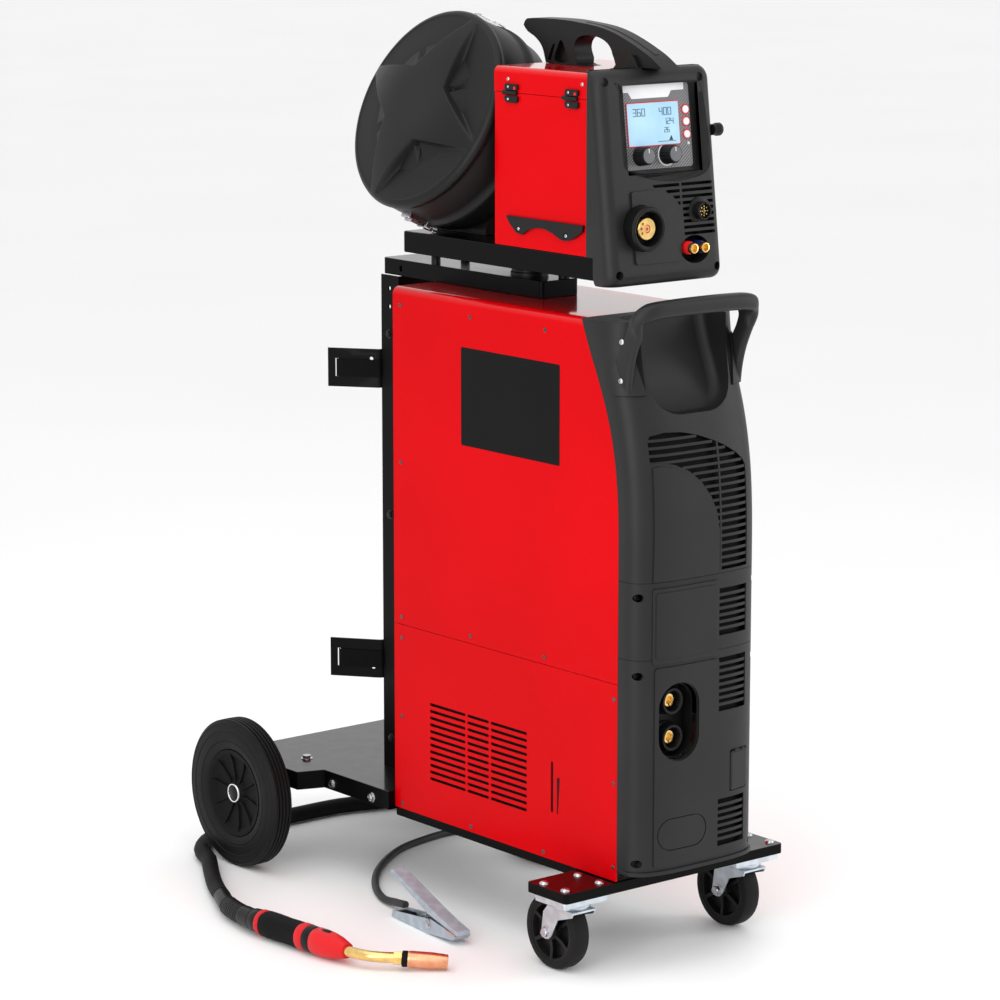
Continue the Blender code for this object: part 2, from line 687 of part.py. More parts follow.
def make_drive_unit():
    """Wire drive: a bearing plate across the box with its motor, and a hinged pressure arm."""
    low = (-0.030, 0.110, FEEDER_BOX_BASE + GAP)
    unit = box("drive_unit", low, (-0.026, 0.300, 1.300), ALUMINIUM)
    join(unit, rod("drive_motor", (-0.028, 0.200, 1.150), (0.085, 0.200, 1.150), 0.034, sides=24))
    join(unit, box("drive_block", (-0.062, 0.140, 1.110), (-0.028, 0.260, 1.165)))
    for i, y in enumerate((0.170, 0.230)):
        join(unit, rod(f"drive_roll_{i}", (-0.072, y, 1.152), (-0.060, y, 1.152), 0.018, sides=20))
    join(unit, rod("arm_pivot", (-0.028, 0.255, 1.184), (-0.0357, 0.255, 1.184), 0.006, sides=16))
    arm_low = (-0.060, 0.156, 1.176)
    arm = box("pressure_arm", arm_low, (-0.036, 0.262, 1.192), ALUMINIUM, 0.002)
    join(arm, rod("pressure_knob", (-0.048, 0.168, 1.188), (-0.048, 0.168, 1.226), 0.010, sides=16))


BEZEL_LEAN = math.atan2(0.033, 0.282)


def bezel_front(height):
    """Y of the feeder's leaning front face."""
    return 0.032 + (height - 1.064) * math.tan(BEZEL_LEAN)


def bezel_outline(inset):
    """Side view of the feeder's front moulding."""
    low = 1.044 + inset
    high = 1.363 - inset
    front = [(bezel_front(z) + inset, z) for z in (low + 0.012, high - 0.030)]
    toe = [(bezel_front(low) + 0.012 + inset, low)]
    brow = [(bezel_front(high) + 0.012 + inset, high)]
    rear = 0.0895 + (0.01 if inset else 0.0)
    return [(0.0735, low)] + toe + front + brow + [(rear, high), (rear, 1.0865), (0.0735, 1.0865)]


def make_feeder_bezel():
    half = 0.114
    bezel = prism("feeder_bezel", bezel_outline(0.0), -half, half, SIDE, GREY_PLASTIC)
    inner = [(bezel_front(z) + 0.006, z) for z in (1.092, 1.350)] + [(0.12, 1.350), (0.12, 1.092)]
    cut(bezel, prism("bezel_hollow", inner, 0.004 - half, half - 0.004, SIDE))
    cut(bezel, box("display_recess", (-0.066, 0.0, 1.208), (0.082, 0.2, 1.340)))
    cut(bezel, rod("euro_hole", (-0.049, 0.0, 1.130), (-0.049, 0.1, 1.130), 0.0345, sides=28))
    cut(bezel, rod("coupling_recess", (0.0545, 0.0, 1.094), (0.0545, 0.1, 1.094), 0.0265, sides=24))


LEAN_NORMAL = Vector((0, -math.cos(BEZEL_LEAN), math.sin(BEZEL_LEAN)))


def on_panel(x, height, out):
    """A point on the control panel, out metres in front of it."""
    return Vector((x, bezel_front(height) + 0.010, height)) + LEAN_NORMAL * out


def make_control_panel():
    """The leaning panel with its display, knobs and push buttons."""
    corners = ((0.010, 1.2085), (0.010, 1.3395), (0.013, 1.3395), (0.013, 1.2085))
    face = [(bezel_front(z) + y, z) for y, z in corners]
    panel = prism("control_panel", face, -0.0655, 0.0815, SIDE, PANEL_GREY)
    for name, x in (("left", -0.033), ("right", 0.020)):
        foot = on_panel(x, 1.234, GAP)
        top = on_panel(x, 1.234, 0.022)
        rod(f"knob_{name}", foot, top, 0.0145, BLACK_PLASTIC, 28, 0.0135)
    for i, z in enumerate((1.299, 1.281, 1.262)):
        behind = on_panel(0.063, z, -0.01)
        cut(panel, rod(f"button_hole_{i}", behind, on_panel(0.063, z, 0.01), 0.0063, sides=20))
        foot = on_panel(0.063, z, -0.0032)
        rod(f"panel_button_{i + 1}", foot, on_panel(0.063, z, 0.0028), 0.0060, PANEL_GREY, 20)


def make_feeder_sockets():
    """Euro torch socket and the two coolant couplings."""
    spot = Vector((-0.049, 0.046, 1.130))
    outer = [(0.0, 0.016), (0.0180, 0.016), (0.0182, 0.004), (0.0270, 0.004), (0.0280, 0.032)]
    outer += [(0.0325, 0.032), (0.0335, 0.028), (0.0335, -0.006), (0.0, -0.006)]
    turned("euro_socket", outer, spot, (0, -1, 0), BLACK_PLASTIC, 28)
    ends = [(0.0545, y, 1.094) for y in (0.062, 0.058)]
    panel = rod("coolant_couplings", ends[0], ends[1], 0.0255, BLACK_PLASTIC, 24)
    for i, x in enumerate((0.0435, 0.0660)):
        join(panel, rod(f"coupling_body_{i}", (x, 0.060, 1.094), (x, 0.036, 1.094), 0.0095, sides=16))
        join(panel, rod(f"coupling_neck_{i}", (x, 0.040, 1.094), (x, 0.020, 1.094), 0.0075, sides=16))


def make_feeder_handle():
    """Carrying handle that rises from the front moulding and runs back over a grip hole."""
    base = FEEDER_BOX_TOP + GAP
    top = [(0.030, 1.3640), (0.062, 1.383), (0.108, 1.402), (0.175, 1.420), (0.265, 1.4275)]
    rear = [(0.335, 1.4265), (0.352, 1.421), (0.354, 1.411), (0.325, 1.398), (0.305, 1.385)]
    foot = [(0.298, base), (0.091, base), (0.0905, 1.3640)]
    handle = prism("feeder_handle", top + rear + foot, -0.018, 0.018, SIDE, GREY_PLASTIC, 0.005)
    opening = [(0.150, 1.366), (0.150, 1.385), (0.166, 1.400), (0.190, 1.4045), (0.215, 1.402)]
    opening += [(0.232, 1.388), (0.226, 1.366)]
    cut(handle, prism("grip_hole", opening, -0.05, 0.05, SIDE))


# --- Wire spool drum ---------------------------------------------------------------------------


def drum_point(depth, up=0.0, across=0.0):
    """depth behind the drum's face, along its tilted axis."""
    return DRUM_FACE - DRUM_AXIS * depth + DRUM_UP * up + Vector((0, across, 0))


def make_drum():
    wall = 0.0035
    r = DRUM_RADIUS
    seam = DRUM_DEPTH - DRUM_SEAM
    dome = DRUM_DOME
    cover = [(0.0, dome), (0.055, dome), (r - 0.012, 0.0), (r - 0.003, -0.004), (r, -0.012)]
    cover += [(r + 0.0015, -DRUM_SEAM + GAP), (r - 0.002, -DRUM_SEAM + GAP), (r - wall, -0.012)]
    inside = [(r - 0.014, -wall), (0.054, dome - wall), (0.0, dome - wall)]
    turned("drum_cover", cover + inside, DRUM_FACE, DRUM_AXIS, BLACK_PLASTIC, 32)
    back = [(0.0, wall - seam), (r - 0.016, wall - seam), (r - 0.006, 0.0), (r + 0.0015, 0.0)]
    back += [(r - 0.003, -0.006), (r - 0.010, -seam), (0.0, -seam)]
    base = turned("drum_base", back, drum_point(DRUM_SEAM + GAP), DRUM_AXIS, BLACK_PLASTIC, 32)
    hub = rod("spool_hub", drum_point(DRUM_DEPTH - 0.001), drum_point(0.034), 0.0245, sides=24)
    join(base, hub)
    top = drum_point(DRUM_DEPTH - 0.002, -0.070)
    heel = drum_point(DRUM_DEPTH - 0.002, -0.150)
    floor = FEEDER_BOX_BASE + GAP
    outline = [(heel.x, floor), (0.030, floor), (top.x, top.z), (heel.x, heel.z)]
    join(base, prism("drum_foot", outline, 0.400, 0.530, FRONT))
    spool = [(0.1480, 0.046), (0.1480, 0.042), (0.075, 0.042), (0.075, -0.042)]
    spool += [(0.1480, -0.042), (0.1480, -0.046), (0.0255, -0.046), (0.0255, 0.046)]
    turned("wire_spool", spool, drum_point(0.068), DRUM_AXIS, BLACK_PLASTIC, 28, closed=True)


def make_drum_latches():
    """Levers of the over-centre latches at the cover's top and bottom, hinged beside the seam."""
    for name, sign in (("top", 1), ("bottom", -1)):
        low = (-0.018, -0.011, -0.0015)
        latch = box(f"drum_latch_{name}", low, (0.018, 0.011, 0.0015), ZINC, 0.001)
        latch.location = drum_point(DRUM_SEAM - 0.022, sign * (DRUM_RADIUS + 0.0048))
        latch.rotation_euler = (0, DRUM_TILT, 0)


# --- Torch, earth clamp and their leads ----------------------------------------------------

TORCH_ROUTE = ((-0.398, 0.655, 0.018), (-0.418, 0.600, 0.0205), (-0.432, 0.530, 0.0215),
               (-0.436, 0.490, 0.022))
HANDLE_START = Vector((-0.436, 0.490, 0.0225))
HANDLE_END = Vector((-0.421, 0.296, 0.0225))
CLAMP_REAR = Vector((-0.203, 0.440, 0.0))
CLAMP_DIRECTION = Vector((-0.100, -0.995, 0.0))


def make_torch():
    start = HANDLE_START
    along = (HANDLE_END - HANDLE_START).normalized()
    handle = rod("torch_handle", start, HANDLE_END, 0.0215, RED_PLASTIC, 20, 0.019)
    relief = [*smooth_route(TORCH_ROUTE, 0.03), start + along * 0.01]
    join(handle, solid_tube("torch_relief", relief, 0.0165))
    pad = start + along * 0.155 + Vector((0, 0, 0.010))
    slot = box("trigger_slot", (-0.0065, -0.032, -0.012), (0.0065, 0.032, 0.020))
    slot.location = pad + Vector((0, 0, 0.006))
    slot.rotation_euler = (0, 0, math.radians(-4.4))
    cut(handle, slot)
    low = (-0.0055, -0.028, -0.004)
    trigger = box("torch_trigger", low, (0.0055, 0.028, 0.010), RED_PLASTIC, 0.002)
    trigger.location = pad + Vector((0, 0, 0.003))
    trigger.rotation_euler = (0, 0, math.radians(-4.4))
    neck_route = [HANDLE_END + along * 0.0012, (-0.4195, 0.276, 0.0225), (-0.411, 0.252, 0.022)]
    neck_route += [(-0.397, 0.234, 0.021), (-0.376, 0.2165, 0.020)]
    neck = solid_tube("torch_neck", smooth_route(neck_route, 0.012), 0.0085, BRASS)
    nozzle_start = Vector((-0.383, 0.2225, 0.0198))
    nozzle_end = Vector((-0.317, 0.168, 0.0135))
    join(neck, rod("torch_nozzle", nozzle_start, nozzle_end, 0.0130, sides=24))


HOSE_ROUTE = ((-0.3968, 0.6574, 0.018), (-0.380, 0.692, 0.0150), (-0.354, 0.742, HOSE_RADIUS),
              (-0.320, 0.800, HOSE_RADIUS), (-0.288, 0.853, HOSE_RADIUS),
              (-0.263, 0.910, HOSE_RADIUS), (-0.208, 0.958, HOSE_RADIUS),
              (-0.120, 0.983, HOSE_RADIUS), (-0.022, 0.985, HOSE_RADIUS),
              (0.080, 0.983, HOSE_RADIUS), (0.152, 0.962, HOSE_RADIUS),
              (0.230, 0.945, HOSE_RADIUS), (0.310, 0.938, HOSE_RADIUS),
              (0.390, 0.912, HOSE_RADIUS), (0.442, 0.860, HOSE_RADIUS),
              (0.466, 0.790, HOSE_RADIUS), (0.4715, 0.710, HOSE_RADIUS),
              (0.4660, 0.6385, HOSE_RADIUS))
EARTH_ROUTE = ((-0.1915, 0.4375, 0.0150), (-0.1890, 0.465, 0.0120),
               (-0.1800, 0.513, EARTH_RADIUS), (-0.1450, 0.580, EARTH_RADIUS),
               (-0.0810, 0.653, EARTH_RADIUS), (0.0090, 0.717, EARTH_RADIUS),
               (0.0940, 0.743, EARTH_RADIUS), (0.1500, 0.748, EARTH_RADIUS),
               (0.2100, 0.742, EARTH_RADIUS), (0.2650, 0.7285, EARTH_RADIUS),
               (0.2935, 0.7220, EARTH_RADIUS))


def lead(name, route, radius, lift=0.0004):
    raised = [Vector(p) + Vector((0, 0, lift)) for p in route]
    curve_tube(name, smooth_route(raised, 5 * radius), radius, BLACK_RUBBER, 2)


def coil(name, centre, radius, wire, columns, height):
    """The outer shape of a wound coil that lies flat."""
    half = wire * columns
    profile = [(radius + half, height), (radius + half, 0.0004)]
    profile += [(radius - half, 0.0004), (radius - half, height)]
    turned(name, profile, (centre[0], centre[1], 0), (0, 0, 1), BLACK_RUBBER, 28, closed=True)


def make_leads():
    lead("torch_hose", HOSE_ROUTE, HOSE_RADIUS)
    coil("torch_hose_coil", HOSE_COIL_CENTRE, HOSE_COIL_RADIUS, HOSE_RADIUS, 1, 0.0545)
    lead("earth_cable", EARTH_ROUTE, EARTH_RADIUS)
    coil("earth_cable_coil", EARTH_COIL_CENTRE, EARTH_COIL_RADIUS, EARTH_RADIUS, 2, 0.0375)


def make_plugs():
    """Euro plug of the torch, inside the hose coil, and bayonet plug on top of the cable coil."""
    profile = [(0.0, 0.070), (0.0140, 0.070), (0.0145, 0.030), (0.0265, 0.028), (0.0265, -0.004)]
    profile += [(0.0150, -0.008), (0.0125, -0.045), (0.0, -0.045)]
    spot = (HOSE_COIL_CENTRE[0] + 0.0538, HOSE_COIL_CENTRE[1] + 0.0619, 0.0275)
    turned("torch_plug", profile, spot, (0.848, -0.530, 0), BLACK_PLASTIC, 24)
    plug = [(0.0, 0.040), (0.0060, 0.040), (0.0065, 0.016), (0.0140, 0.014)]
    plug += [(0.0140, -0.020), (0.0090, -0.036), (0.0, -0.036)]
    spot = (EARTH_COIL_CENTRE[0] + 0.0688, EARTH_COIL_CENTRE[1] + 0.0172, 0.0520)
    turned("earth_plug", plug, spot, (0.122, 0.9925, 0), BLACK_RUBBER, 20)


def clamp_point(along, up, across=0.0):
    sideways = Vector((CLAMP_DIRECTION.y, -CLAMP_DIRECTION.x, 0))
    return CLAMP_REAR + CLAMP_DIRECTION * along + Vector((0, 0, up)) + sideways * across


def clamp_arm(name, outline, half_width, finish):
    arm = prism(name, outline, -half_width, half_width, SIDE, finish)
    arm.location = clamp_point(0, 0)
    arm.rotation_euler = (math.pi / 2, 0, math.atan2(CLAMP_DIRECTION.y, CLAMP_DIRECTION.x))
    return arm


def make_earth_clamp():
    """Two folded steel arms on one pivot; their noses meet and their tails spread."""
    lower = [(0.0, 0.0005), (0.110, 0.0005), (0.182, 0.008), (0.190, 0.0155), (0.150, 0.0225)]
    lower += [(0.118, 0.026), (0.004, 0.012)]
    lower_arm = clamp_arm("clamp_lower", lower, 0.0150, ZINC)
    channel = [(-0.02, 0.0035), (0.105, 0.0035), (0.150, 0.010), (0.150, 0.05), (-0.02, 0.05)]
    cut(lower_arm, clamp_arm("clamp_lower_channel", channel, 0.0130, None))
    upper = [(-0.006, 0.073), (-0.002, 0.079), (0.120, 0.041), (0.160, 0.030), (0.190, 0.0235)]
    upper += [(0.192, 0.0162), (0.152, 0.0232), (0.105, 0.0315), (0.050, 0.052)]
    upper_arm = clamp_arm("clamp_upper", upper, 0.0125, ZINC)
    hollow = [(-0.02, 0.070), (0.118, 0.0375), (0.150, 0.029), (0.150, 0.0), (-0.02, 0.0)]
    cut(upper_arm, clamp_arm("clamp_upper_channel", hollow, 0.0105, None))


clear_scene()
PARTS = new_collection("mig_welder_on_cart", hidden=False)
CUTTERS = new_collection("cutters", hidden=True)
MACHINE = new_machine_frame()
make_base_pan()
make_caster_plate()
make_bottle_shelf()
make_rear_axle()
make_rear_wheels()
for caster_side, caster_sign in both_sides():
    make_caster(caster_side, caster_sign)
make_mast()
make_top_beam()
make_bottle_brackets()
make_upper_cover()
make_lower_panels()
make_rear_panel()
make_inside()
make_fan()
make_front_mouldings()
make_handle_bar()
make_front_fittings()
make_feeder_base()
make_feeder_cover()
make_feeder_door()
make_drive_unit()
make_feeder_bezel()
make_control_panel()
make_feeder_sockets()
make_feeder_handle()
make_drum()
make_drum_latches()
make_torch()
make_leads()
make_plugs()
make_earth_clamp()
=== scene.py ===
"""Looks of the MIG welder on its cart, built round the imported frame.

Shapes are given in machine coordinates, as in the CAD source: metres, X from the middle, Z from the
floor, Y from the lower front edge of the cabinet's sides. piece() moves them into the row frame.
"""
import math

import bmesh
import bpy
import numpy as np
from mathutils import Matrix, Vector


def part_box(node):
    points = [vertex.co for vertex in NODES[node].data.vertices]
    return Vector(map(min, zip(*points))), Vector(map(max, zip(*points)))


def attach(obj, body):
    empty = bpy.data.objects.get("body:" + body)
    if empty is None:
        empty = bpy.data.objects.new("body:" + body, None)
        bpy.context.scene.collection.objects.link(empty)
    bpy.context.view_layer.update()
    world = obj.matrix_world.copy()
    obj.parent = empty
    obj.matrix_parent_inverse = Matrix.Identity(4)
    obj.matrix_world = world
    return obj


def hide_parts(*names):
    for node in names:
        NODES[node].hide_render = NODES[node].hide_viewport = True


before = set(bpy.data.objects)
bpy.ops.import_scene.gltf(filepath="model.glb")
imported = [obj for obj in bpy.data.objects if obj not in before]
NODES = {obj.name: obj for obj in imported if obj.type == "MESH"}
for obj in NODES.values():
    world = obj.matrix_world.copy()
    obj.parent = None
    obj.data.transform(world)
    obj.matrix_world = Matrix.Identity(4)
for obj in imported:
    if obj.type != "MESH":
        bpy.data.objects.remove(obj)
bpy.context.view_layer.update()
ORIGIN = Vector((0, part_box("lower_panel_left")[0].y, 0))

PLAN, SIDE, FRONT = "plan", "side", "front"


def placed(view, u, v, w):
    """A point of a flat outline (u, v) at depth w, as machine coordinates."""
    return Vector({PLAN: (u, v, w), SIDE: (w, u, v), FRONT: (u, w, v)}[view])


def both_sides():
    return (("left", -1), ("right", 1))


# --- Shapes as bmesh ----------------------------------------------------------------------------


def skin(rows, close_rows=False, close_columns=False, caps=False):
    """Quads through rows of points that have the same length."""
    bm = bmesh.new()
    grid = [[bm.verts.new(p) for p in row] for row in rows]
    pairs = list(zip(grid, grid[1:])) + ([(grid[-1], grid[0])] if close_rows else [])
    for lower, upper in pairs:
        n = len(lower)
        for i in range(n if close_columns else n - 1):
            j = (i + 1) % n
            bm.faces.new((lower[i], lower[j], upper[j], upper[i]))
    if caps:
        bm.faces.new(grid[0])
        bm.faces.new(grid[-1])
    bmesh.ops.remove_doubles(bm, verts=bm.verts, dist=1e-6)
    bmesh.ops.recalc_face_normals(bm, faces=bm.faces)
    return bm


def loft(rings):
    """A closed solid through rings of points."""
    return skin(rings, close_columns=True, caps=True)


def block(low, high):
    """A box between two opposite corners."""
    bm = bmesh.new()
    bmesh.ops.create_cube(bm, size=1.0)
    bmesh.ops.scale(bm, vec=Vector(high) - Vector(low), verts=bm.verts)
    bmesh.ops.translate(bm, vec=(Vector(high) + Vector(low)) / 2, verts=bm.verts)
    return bm


def prism(outline, low, high, view):
    """A flat outline as a solid between two depths."""
    rows = [[placed(view, u, v, w) for u, v in outline] for w in (low, high)]
    return loft(rows)


def axis_frame(axis):
    """Unit vectors along an axis and across it."""
    axis = Vector(axis).normalized()
    side = axis.orthogonal().normalized()
    return axis, side, axis.cross(side)


def lathe(profile, centre, axis, steps=64):
    """A closed (radius, height) profile turned about an axis through centre."""
    axis, side, other = axis_frame(axis)
    rows = []
    for i in range(steps):
        angle = math.tau * i / steps
        out = side * math.cos(angle) + other * math.sin(angle)
        rows.append([Vector(centre) + out * r + axis * h for r, h in profile])
    return skin(rows, close_rows=True, close_columns=True)


def rod(radius, low, high, centre, axis, steps):
    """A plain cylinder from one height to another along an axis through centre."""
    return lathe([(0.0, low), (radius, low), (radius, high), (0.0, high)], centre, axis, steps)


def heading(route, i):
    """Direction of a route at its point i."""
    return (route[min(i + 1, len(route) - 1)] - route[max(i - 1, 0)]).normalized()


def tube(route, radius, sides):
    """A round tube along a route."""
    route = [Vector(p) for p in route]
    angles = [math.tau * i / sides for i in range(sides)]
    rows = []
    for i, spot in enumerate(route):
        along = heading(route, i)
        side = along.cross(Vector((0, 0, 1)))
        side = side.normalized() if side.length > 1e-4 else Vector((1, 0, 0))
        lift = side.cross(along).normalized()
        rows.append([spot + side * math.cos(a) * radius + lift * math.sin(a) * radius
                     for a in angles])
    return loft(rows)


def together(*parts):
    """One bmesh that holds several."""
    whole = parts[0]
    for part in parts[1:]:
        mesh = bpy.data.meshes.new("joining")
        part.to_mesh(mesh)
        part.free()
        whole.from_mesh(mesh)
        bpy.data.meshes.remove(mesh)
    return whole


def moved(bm, matrix):
    """The same bmesh in another place."""
    bmesh.ops.transform(bm, matrix=matrix, verts=bm.verts)
    return bm


def arc(centre, radius, start_deg, end_deg, steps):
    """Points of a flat arc, ends included."""
    spots = [math.radians(start_deg + (end_deg - start_deg) * i / steps) for i in range(steps + 1)]
    return [(centre[0] + radius * math.cos(a), centre[1] + radius * math.sin(a)) for a in spots]


def rounded(low, high, radius, steps=5):
    """A rectangle with round corners."""
    (x0, y0), (x1, y1) = low, high
    corners = [((x1 - radius, y0 + radius), -90), ((x1 - radius, y1 - radius), 0),
               ((x0 + radius, y1 - radius), 90), ((x0 + radius, y0 + radius), 180)]
    return [p for spot, first in corners for p in arc(spot, radius, first, first + 90, steps)]


def smooth_route(points, spacing):
    """Points about spacing apart on a smooth curve through the given ones, which may be 2-D."""
    ends = [Vector(p) for p in points]
    ends = [ends[0] * 2 - ends[1], *ends, ends[-1] * 2 - ends[-2]]
    route = []
    for a, b, c, d in zip(ends, ends[1:], ends[2:], ends[3:]):
        steps = max(1, round((c - b).length / spacing))
        for i in range(steps):
            t = i / steps
            bend = (2 * a - 5 * b + 4 * c - d) * t * t + (3 * b - a - 3 * c + d) * t * t * t
            route.append(0.5 * (2 * b + (c - a) * t + bend))
    return [*route, ends[-2]]


def line_at(line, height):
    """The value of a (height, value) list at a height, on a smooth curve through its points."""
    heights = [h for h, _ in line]
    values = [v for _, v in line]
    slopes = [(b - a) / (d - c) for a, b, c, d in zip(values, values[1:], heights, heights[1:])]
    tangents = [slopes[0]] + [(a + b) / 2 if a * b > 0 else 0.0 for a,
                              b in zip(slopes, slopes[1:])] + [slopes[-1]]
    for i, (h0, h1) in enumerate(zip(heights, heights[1:])):
        if height <= h1 or i == len(slopes) - 1:
            t = (height - h0) / (h1 - h0)
            if t < 0 or t > 1:
                return values[i] if t < 0 else values[i + 1]
            span = h1 - h0
            h00 = (1 + 2 * t) * (1 - t) ** 2
            h10 = t * (1 - t) ** 2
            h01 = t * t * (3 - 2 * t)
            h11 = t * t * (t - 1)
            return (h00 * values[i] + h10 * span * tangents[i]
                    + h01 * values[i + 1] + h11 * span * tangents[i + 1])


# --- Pieces -------------------------------------------------------------------------------------


def added(name, data):
    """A new object of the scene for a mesh, curve, light or camera."""
    obj = bpy.data.objects.new(name, data)
    bpy.context.scene.collection.objects.link(obj)
    return obj


def new_object(name, bm):
    """An object made from a bmesh, moved from machine coordinates into the row frame."""
    bmesh.ops.translate(bm, vec=ORIGIN, verts=bm.verts)
    mesh = bpy.data.meshes.new(name)
    bm.to_mesh(mesh)
    bm.free()
    return added(name, mesh)


def settled(obj):
    """Replaces the mesh by what its modifiers make of it."""
    bpy.context.view_layer.update()
    graph = bpy.context.evaluated_depsgraph_get()
    mesh = bpy.data.meshes.new_from_object(obj.evaluated_get(graph))
    obj.modifiers.clear()
    obj.data = mesh
    return obj


def thickened(obj, thickness, offset=-1):
    """Gives a surface a thickness."""
    solid = obj.modifiers.new("thickness", "SOLIDIFY")
    solid.thickness = thickness
    solid.offset = offset
    return settled(obj)


def boolean(obj, shapes, operation):
    """Adds shapes to an object, takes them away from it or keeps what they share with it."""
    for bm in shapes:
        cutter = new_object("cutter", bm)
        modifier = obj.modifiers.new("boolean", "BOOLEAN")
        modifier.operation = operation
        modifier.solver = "MANIFOLD"
        modifier.object = cutter
        settled(obj)
        bpy.data.objects.remove(cutter)
    return obj


def dressed(obj, material, body, bevel=0.0, replaces=(), smooth=38):
    """Gives an object its round edges, smooth shading, material and body, and hides the nodes it
    replaces.
    """
    if bevel:
        rim = obj.modifiers.new("round_edges", "BEVEL")
        rim.width = bevel
        rim.segments = 2
        rim.limit_method = "ANGLE"
        rim.angle_limit = math.radians(smooth)
        settled(obj)
    obj.data.shade_smooth()
    obj.data.set_sharp_from_angle(angle=math.radians(smooth))
    if bevel:
        even = obj.modifiers.new("even_normals", "WEIGHTED_NORMAL")
        even.keep_sharp = True
        even.weight = 70
        settled(obj)
    obj.data.materials.clear()
    obj.data.materials.append(material)
    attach(obj, body)
    if replaces:
        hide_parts(*replaces)
    return obj


def piece(name, bm, material, body, replaces=(), bevel=0.0, smooth=38, minus=(), plus=()):
    """A visible piece made from a bmesh, with other shapes added or cut away."""
    obj = new_object(name, bm)
    boolean(obj, plus, "UNION")
    boolean(obj, minus, "DIFFERENCE")
    return dressed(obj, material, body, bevel, replaces, smooth)


def finish_node(material, *names):
    """Gives a material to nodes that stay as they are in the CAD."""
    for name in names:
        NODES[name].data.materials.clear()
        NODES[name].data.materials.append(material)


def screw_head(spot, normal, radius, height=0.0016):
    """A low domed head with a recess in it."""
    dome = [(radius, 0.0), (radius * 0.92, height * 0.55), (radius * 0.62, height),
            (radius * 0.40, height)]
    recess = [(radius * 0.30, height * 0.35), (0.0, height * 0.30)]
    return lathe([(0.0, -0.001), (radius, -0.001), *dome, *recess], spot, normal, 20)


def hex_bolt(spot, normal, radius, height=0.004):
    """A hexagon head on a washer, with a rounded crown."""
    axis = Vector(normal).normalized()
    head = lathe([(0.0, 0.0), (radius, 0.0), (radius, height * 0.85), (radius * 0.86, height),
                  (0.0, height)], Vector(spot) + axis * 0.0012, normal, 6)
    washer = lathe([(0.0, -0.0005), (radius * 1.35, -0.0005), (radius * 1.35, 0.0010),
                    (radius * 1.2, 0.0013), (0.0, 0.0013)], spot, normal, 28)
    return together(head, washer)
# --- Materials ----------------------------------------------------------------------------------


class Shader:
    """A Principled material that is built up node by node in object coordinates.

    node() sets what it's given as a setting of the node or, failing that, as the value of an input.
    colour(), rough() and bump() join a pattern to the surface.
    """

    def __init__(self, name, roughness=0.5, metallic=0.0, **fixed):
        self.material = bpy.data.materials.new(name)
        self.material.use_nodes = True
        self.tree = self.material.node_tree
        self.base = self.tree.nodes["Principled BSDF"]
        self.base.inputs["Roughness"].default_value = roughness
        self.base.inputs["Metallic"].default_value = metallic
        for key, value in fixed.items():
            self.base.inputs[key.replace("_", " ")].default_value = value
        coordinates = self.node("ShaderNodeTexCoord")
        self.place = coordinates.outputs["Object"]
        self.facing = coordinates.outputs["Normal"]
        self.relief = None

    def node(self, kind, **settings):
        made = self.tree.nodes.new(kind)
        for key, value in settings.items():
            if hasattr(made, key):
                setattr(made, key, value)
            else:
                made.inputs[key.replace("_", " ")].default_value = value
        return made

    def link(self, source, node, socket):
        self.tree.links.new(source, node.inputs[socket])

    def stretched(self, scale):
        mapping = self.node("ShaderNodeMapping")
        mapping.inputs["Scale"].default_value = scale
        self.link(self.place, mapping, "Vector")
        return mapping.outputs["Vector"]

    def noise(self, scale, detail=2.0, stretch=None):
        made = self.node("ShaderNodeTexNoise", Scale=scale, Detail=detail, Roughness=0.5)
        self.link(self.stretched(stretch) if stretch else self.place, made, "Vector")
        return made.outputs["Fac"]

    def cells(self, scale, feature="F1"):
        made = self.node("ShaderNodeTexVoronoi", Scale=scale, feature=feature)
        self.link(self.place, made, "Vector")
        return made.outputs["Distance"]

    def bands(self, scale, direction, stretch=None):
        made = self.node("ShaderNodeTexWave", Scale=scale, bands_direction=direction)
        self.link(self.stretched(stretch) if stretch else self.place, made, "Vector")
        return made.outputs["Fac"]

    def math(self, operation, first, second):
        made = self.node("ShaderNodeMath", operation=operation)
        for i, value in enumerate((first, second)):
            if isinstance(value, (int, float)):
                made.inputs[i].default_value = value
            else:
                self.tree.links.new(value, made.inputs[i])
        return made.outputs[0]

    def ramp(self, value, stops):
        made = self.node("ShaderNodeValToRGB")
        self.link(value, made, "Fac")
        elements = made.color_ramp.elements
        while len(elements) < len(stops):
            elements.new(0.5)
        for element, (where, colour) in zip(elements, stops):
            element.position = where
            element.color = (*colour, 1) if len(colour) == 3 else colour
        return made.outputs["Color"]

    def colour(self, value, stops):
        self.link(self.ramp(value, stops), self.base, "Base Color")
        return self

    def rough(self, value, low, high):
        made = self.node("ShaderNodeMapRange")
        made.inputs["To Min"].default_value = low
        made.inputs["To Max"].default_value = high
        self.link(value, made, "Value")
        self.link(made.outputs["Result"], self.base, "Roughness")
        return self

    def bump(self, value, strength, depth):
        made = self.node("ShaderNodeBump")
        made.inputs["Strength"].default_value = strength
        made.inputs["Distance"].default_value = depth
        self.link(value, made, "Height")
        if self.relief is not None:
            self.link(self.relief, made, "Normal")
        self.relief = made.outputs["Normal"]
        self.link(self.relief, self.base, "Normal")
        return self


def around(colour, share):
    """Two colours a share darker and lighter than one."""
    return [(0.35, tuple(c * (1 - share) for c in colour)),
            (0.65, tuple(min(1, c * (1 + share)) for c in colour))]


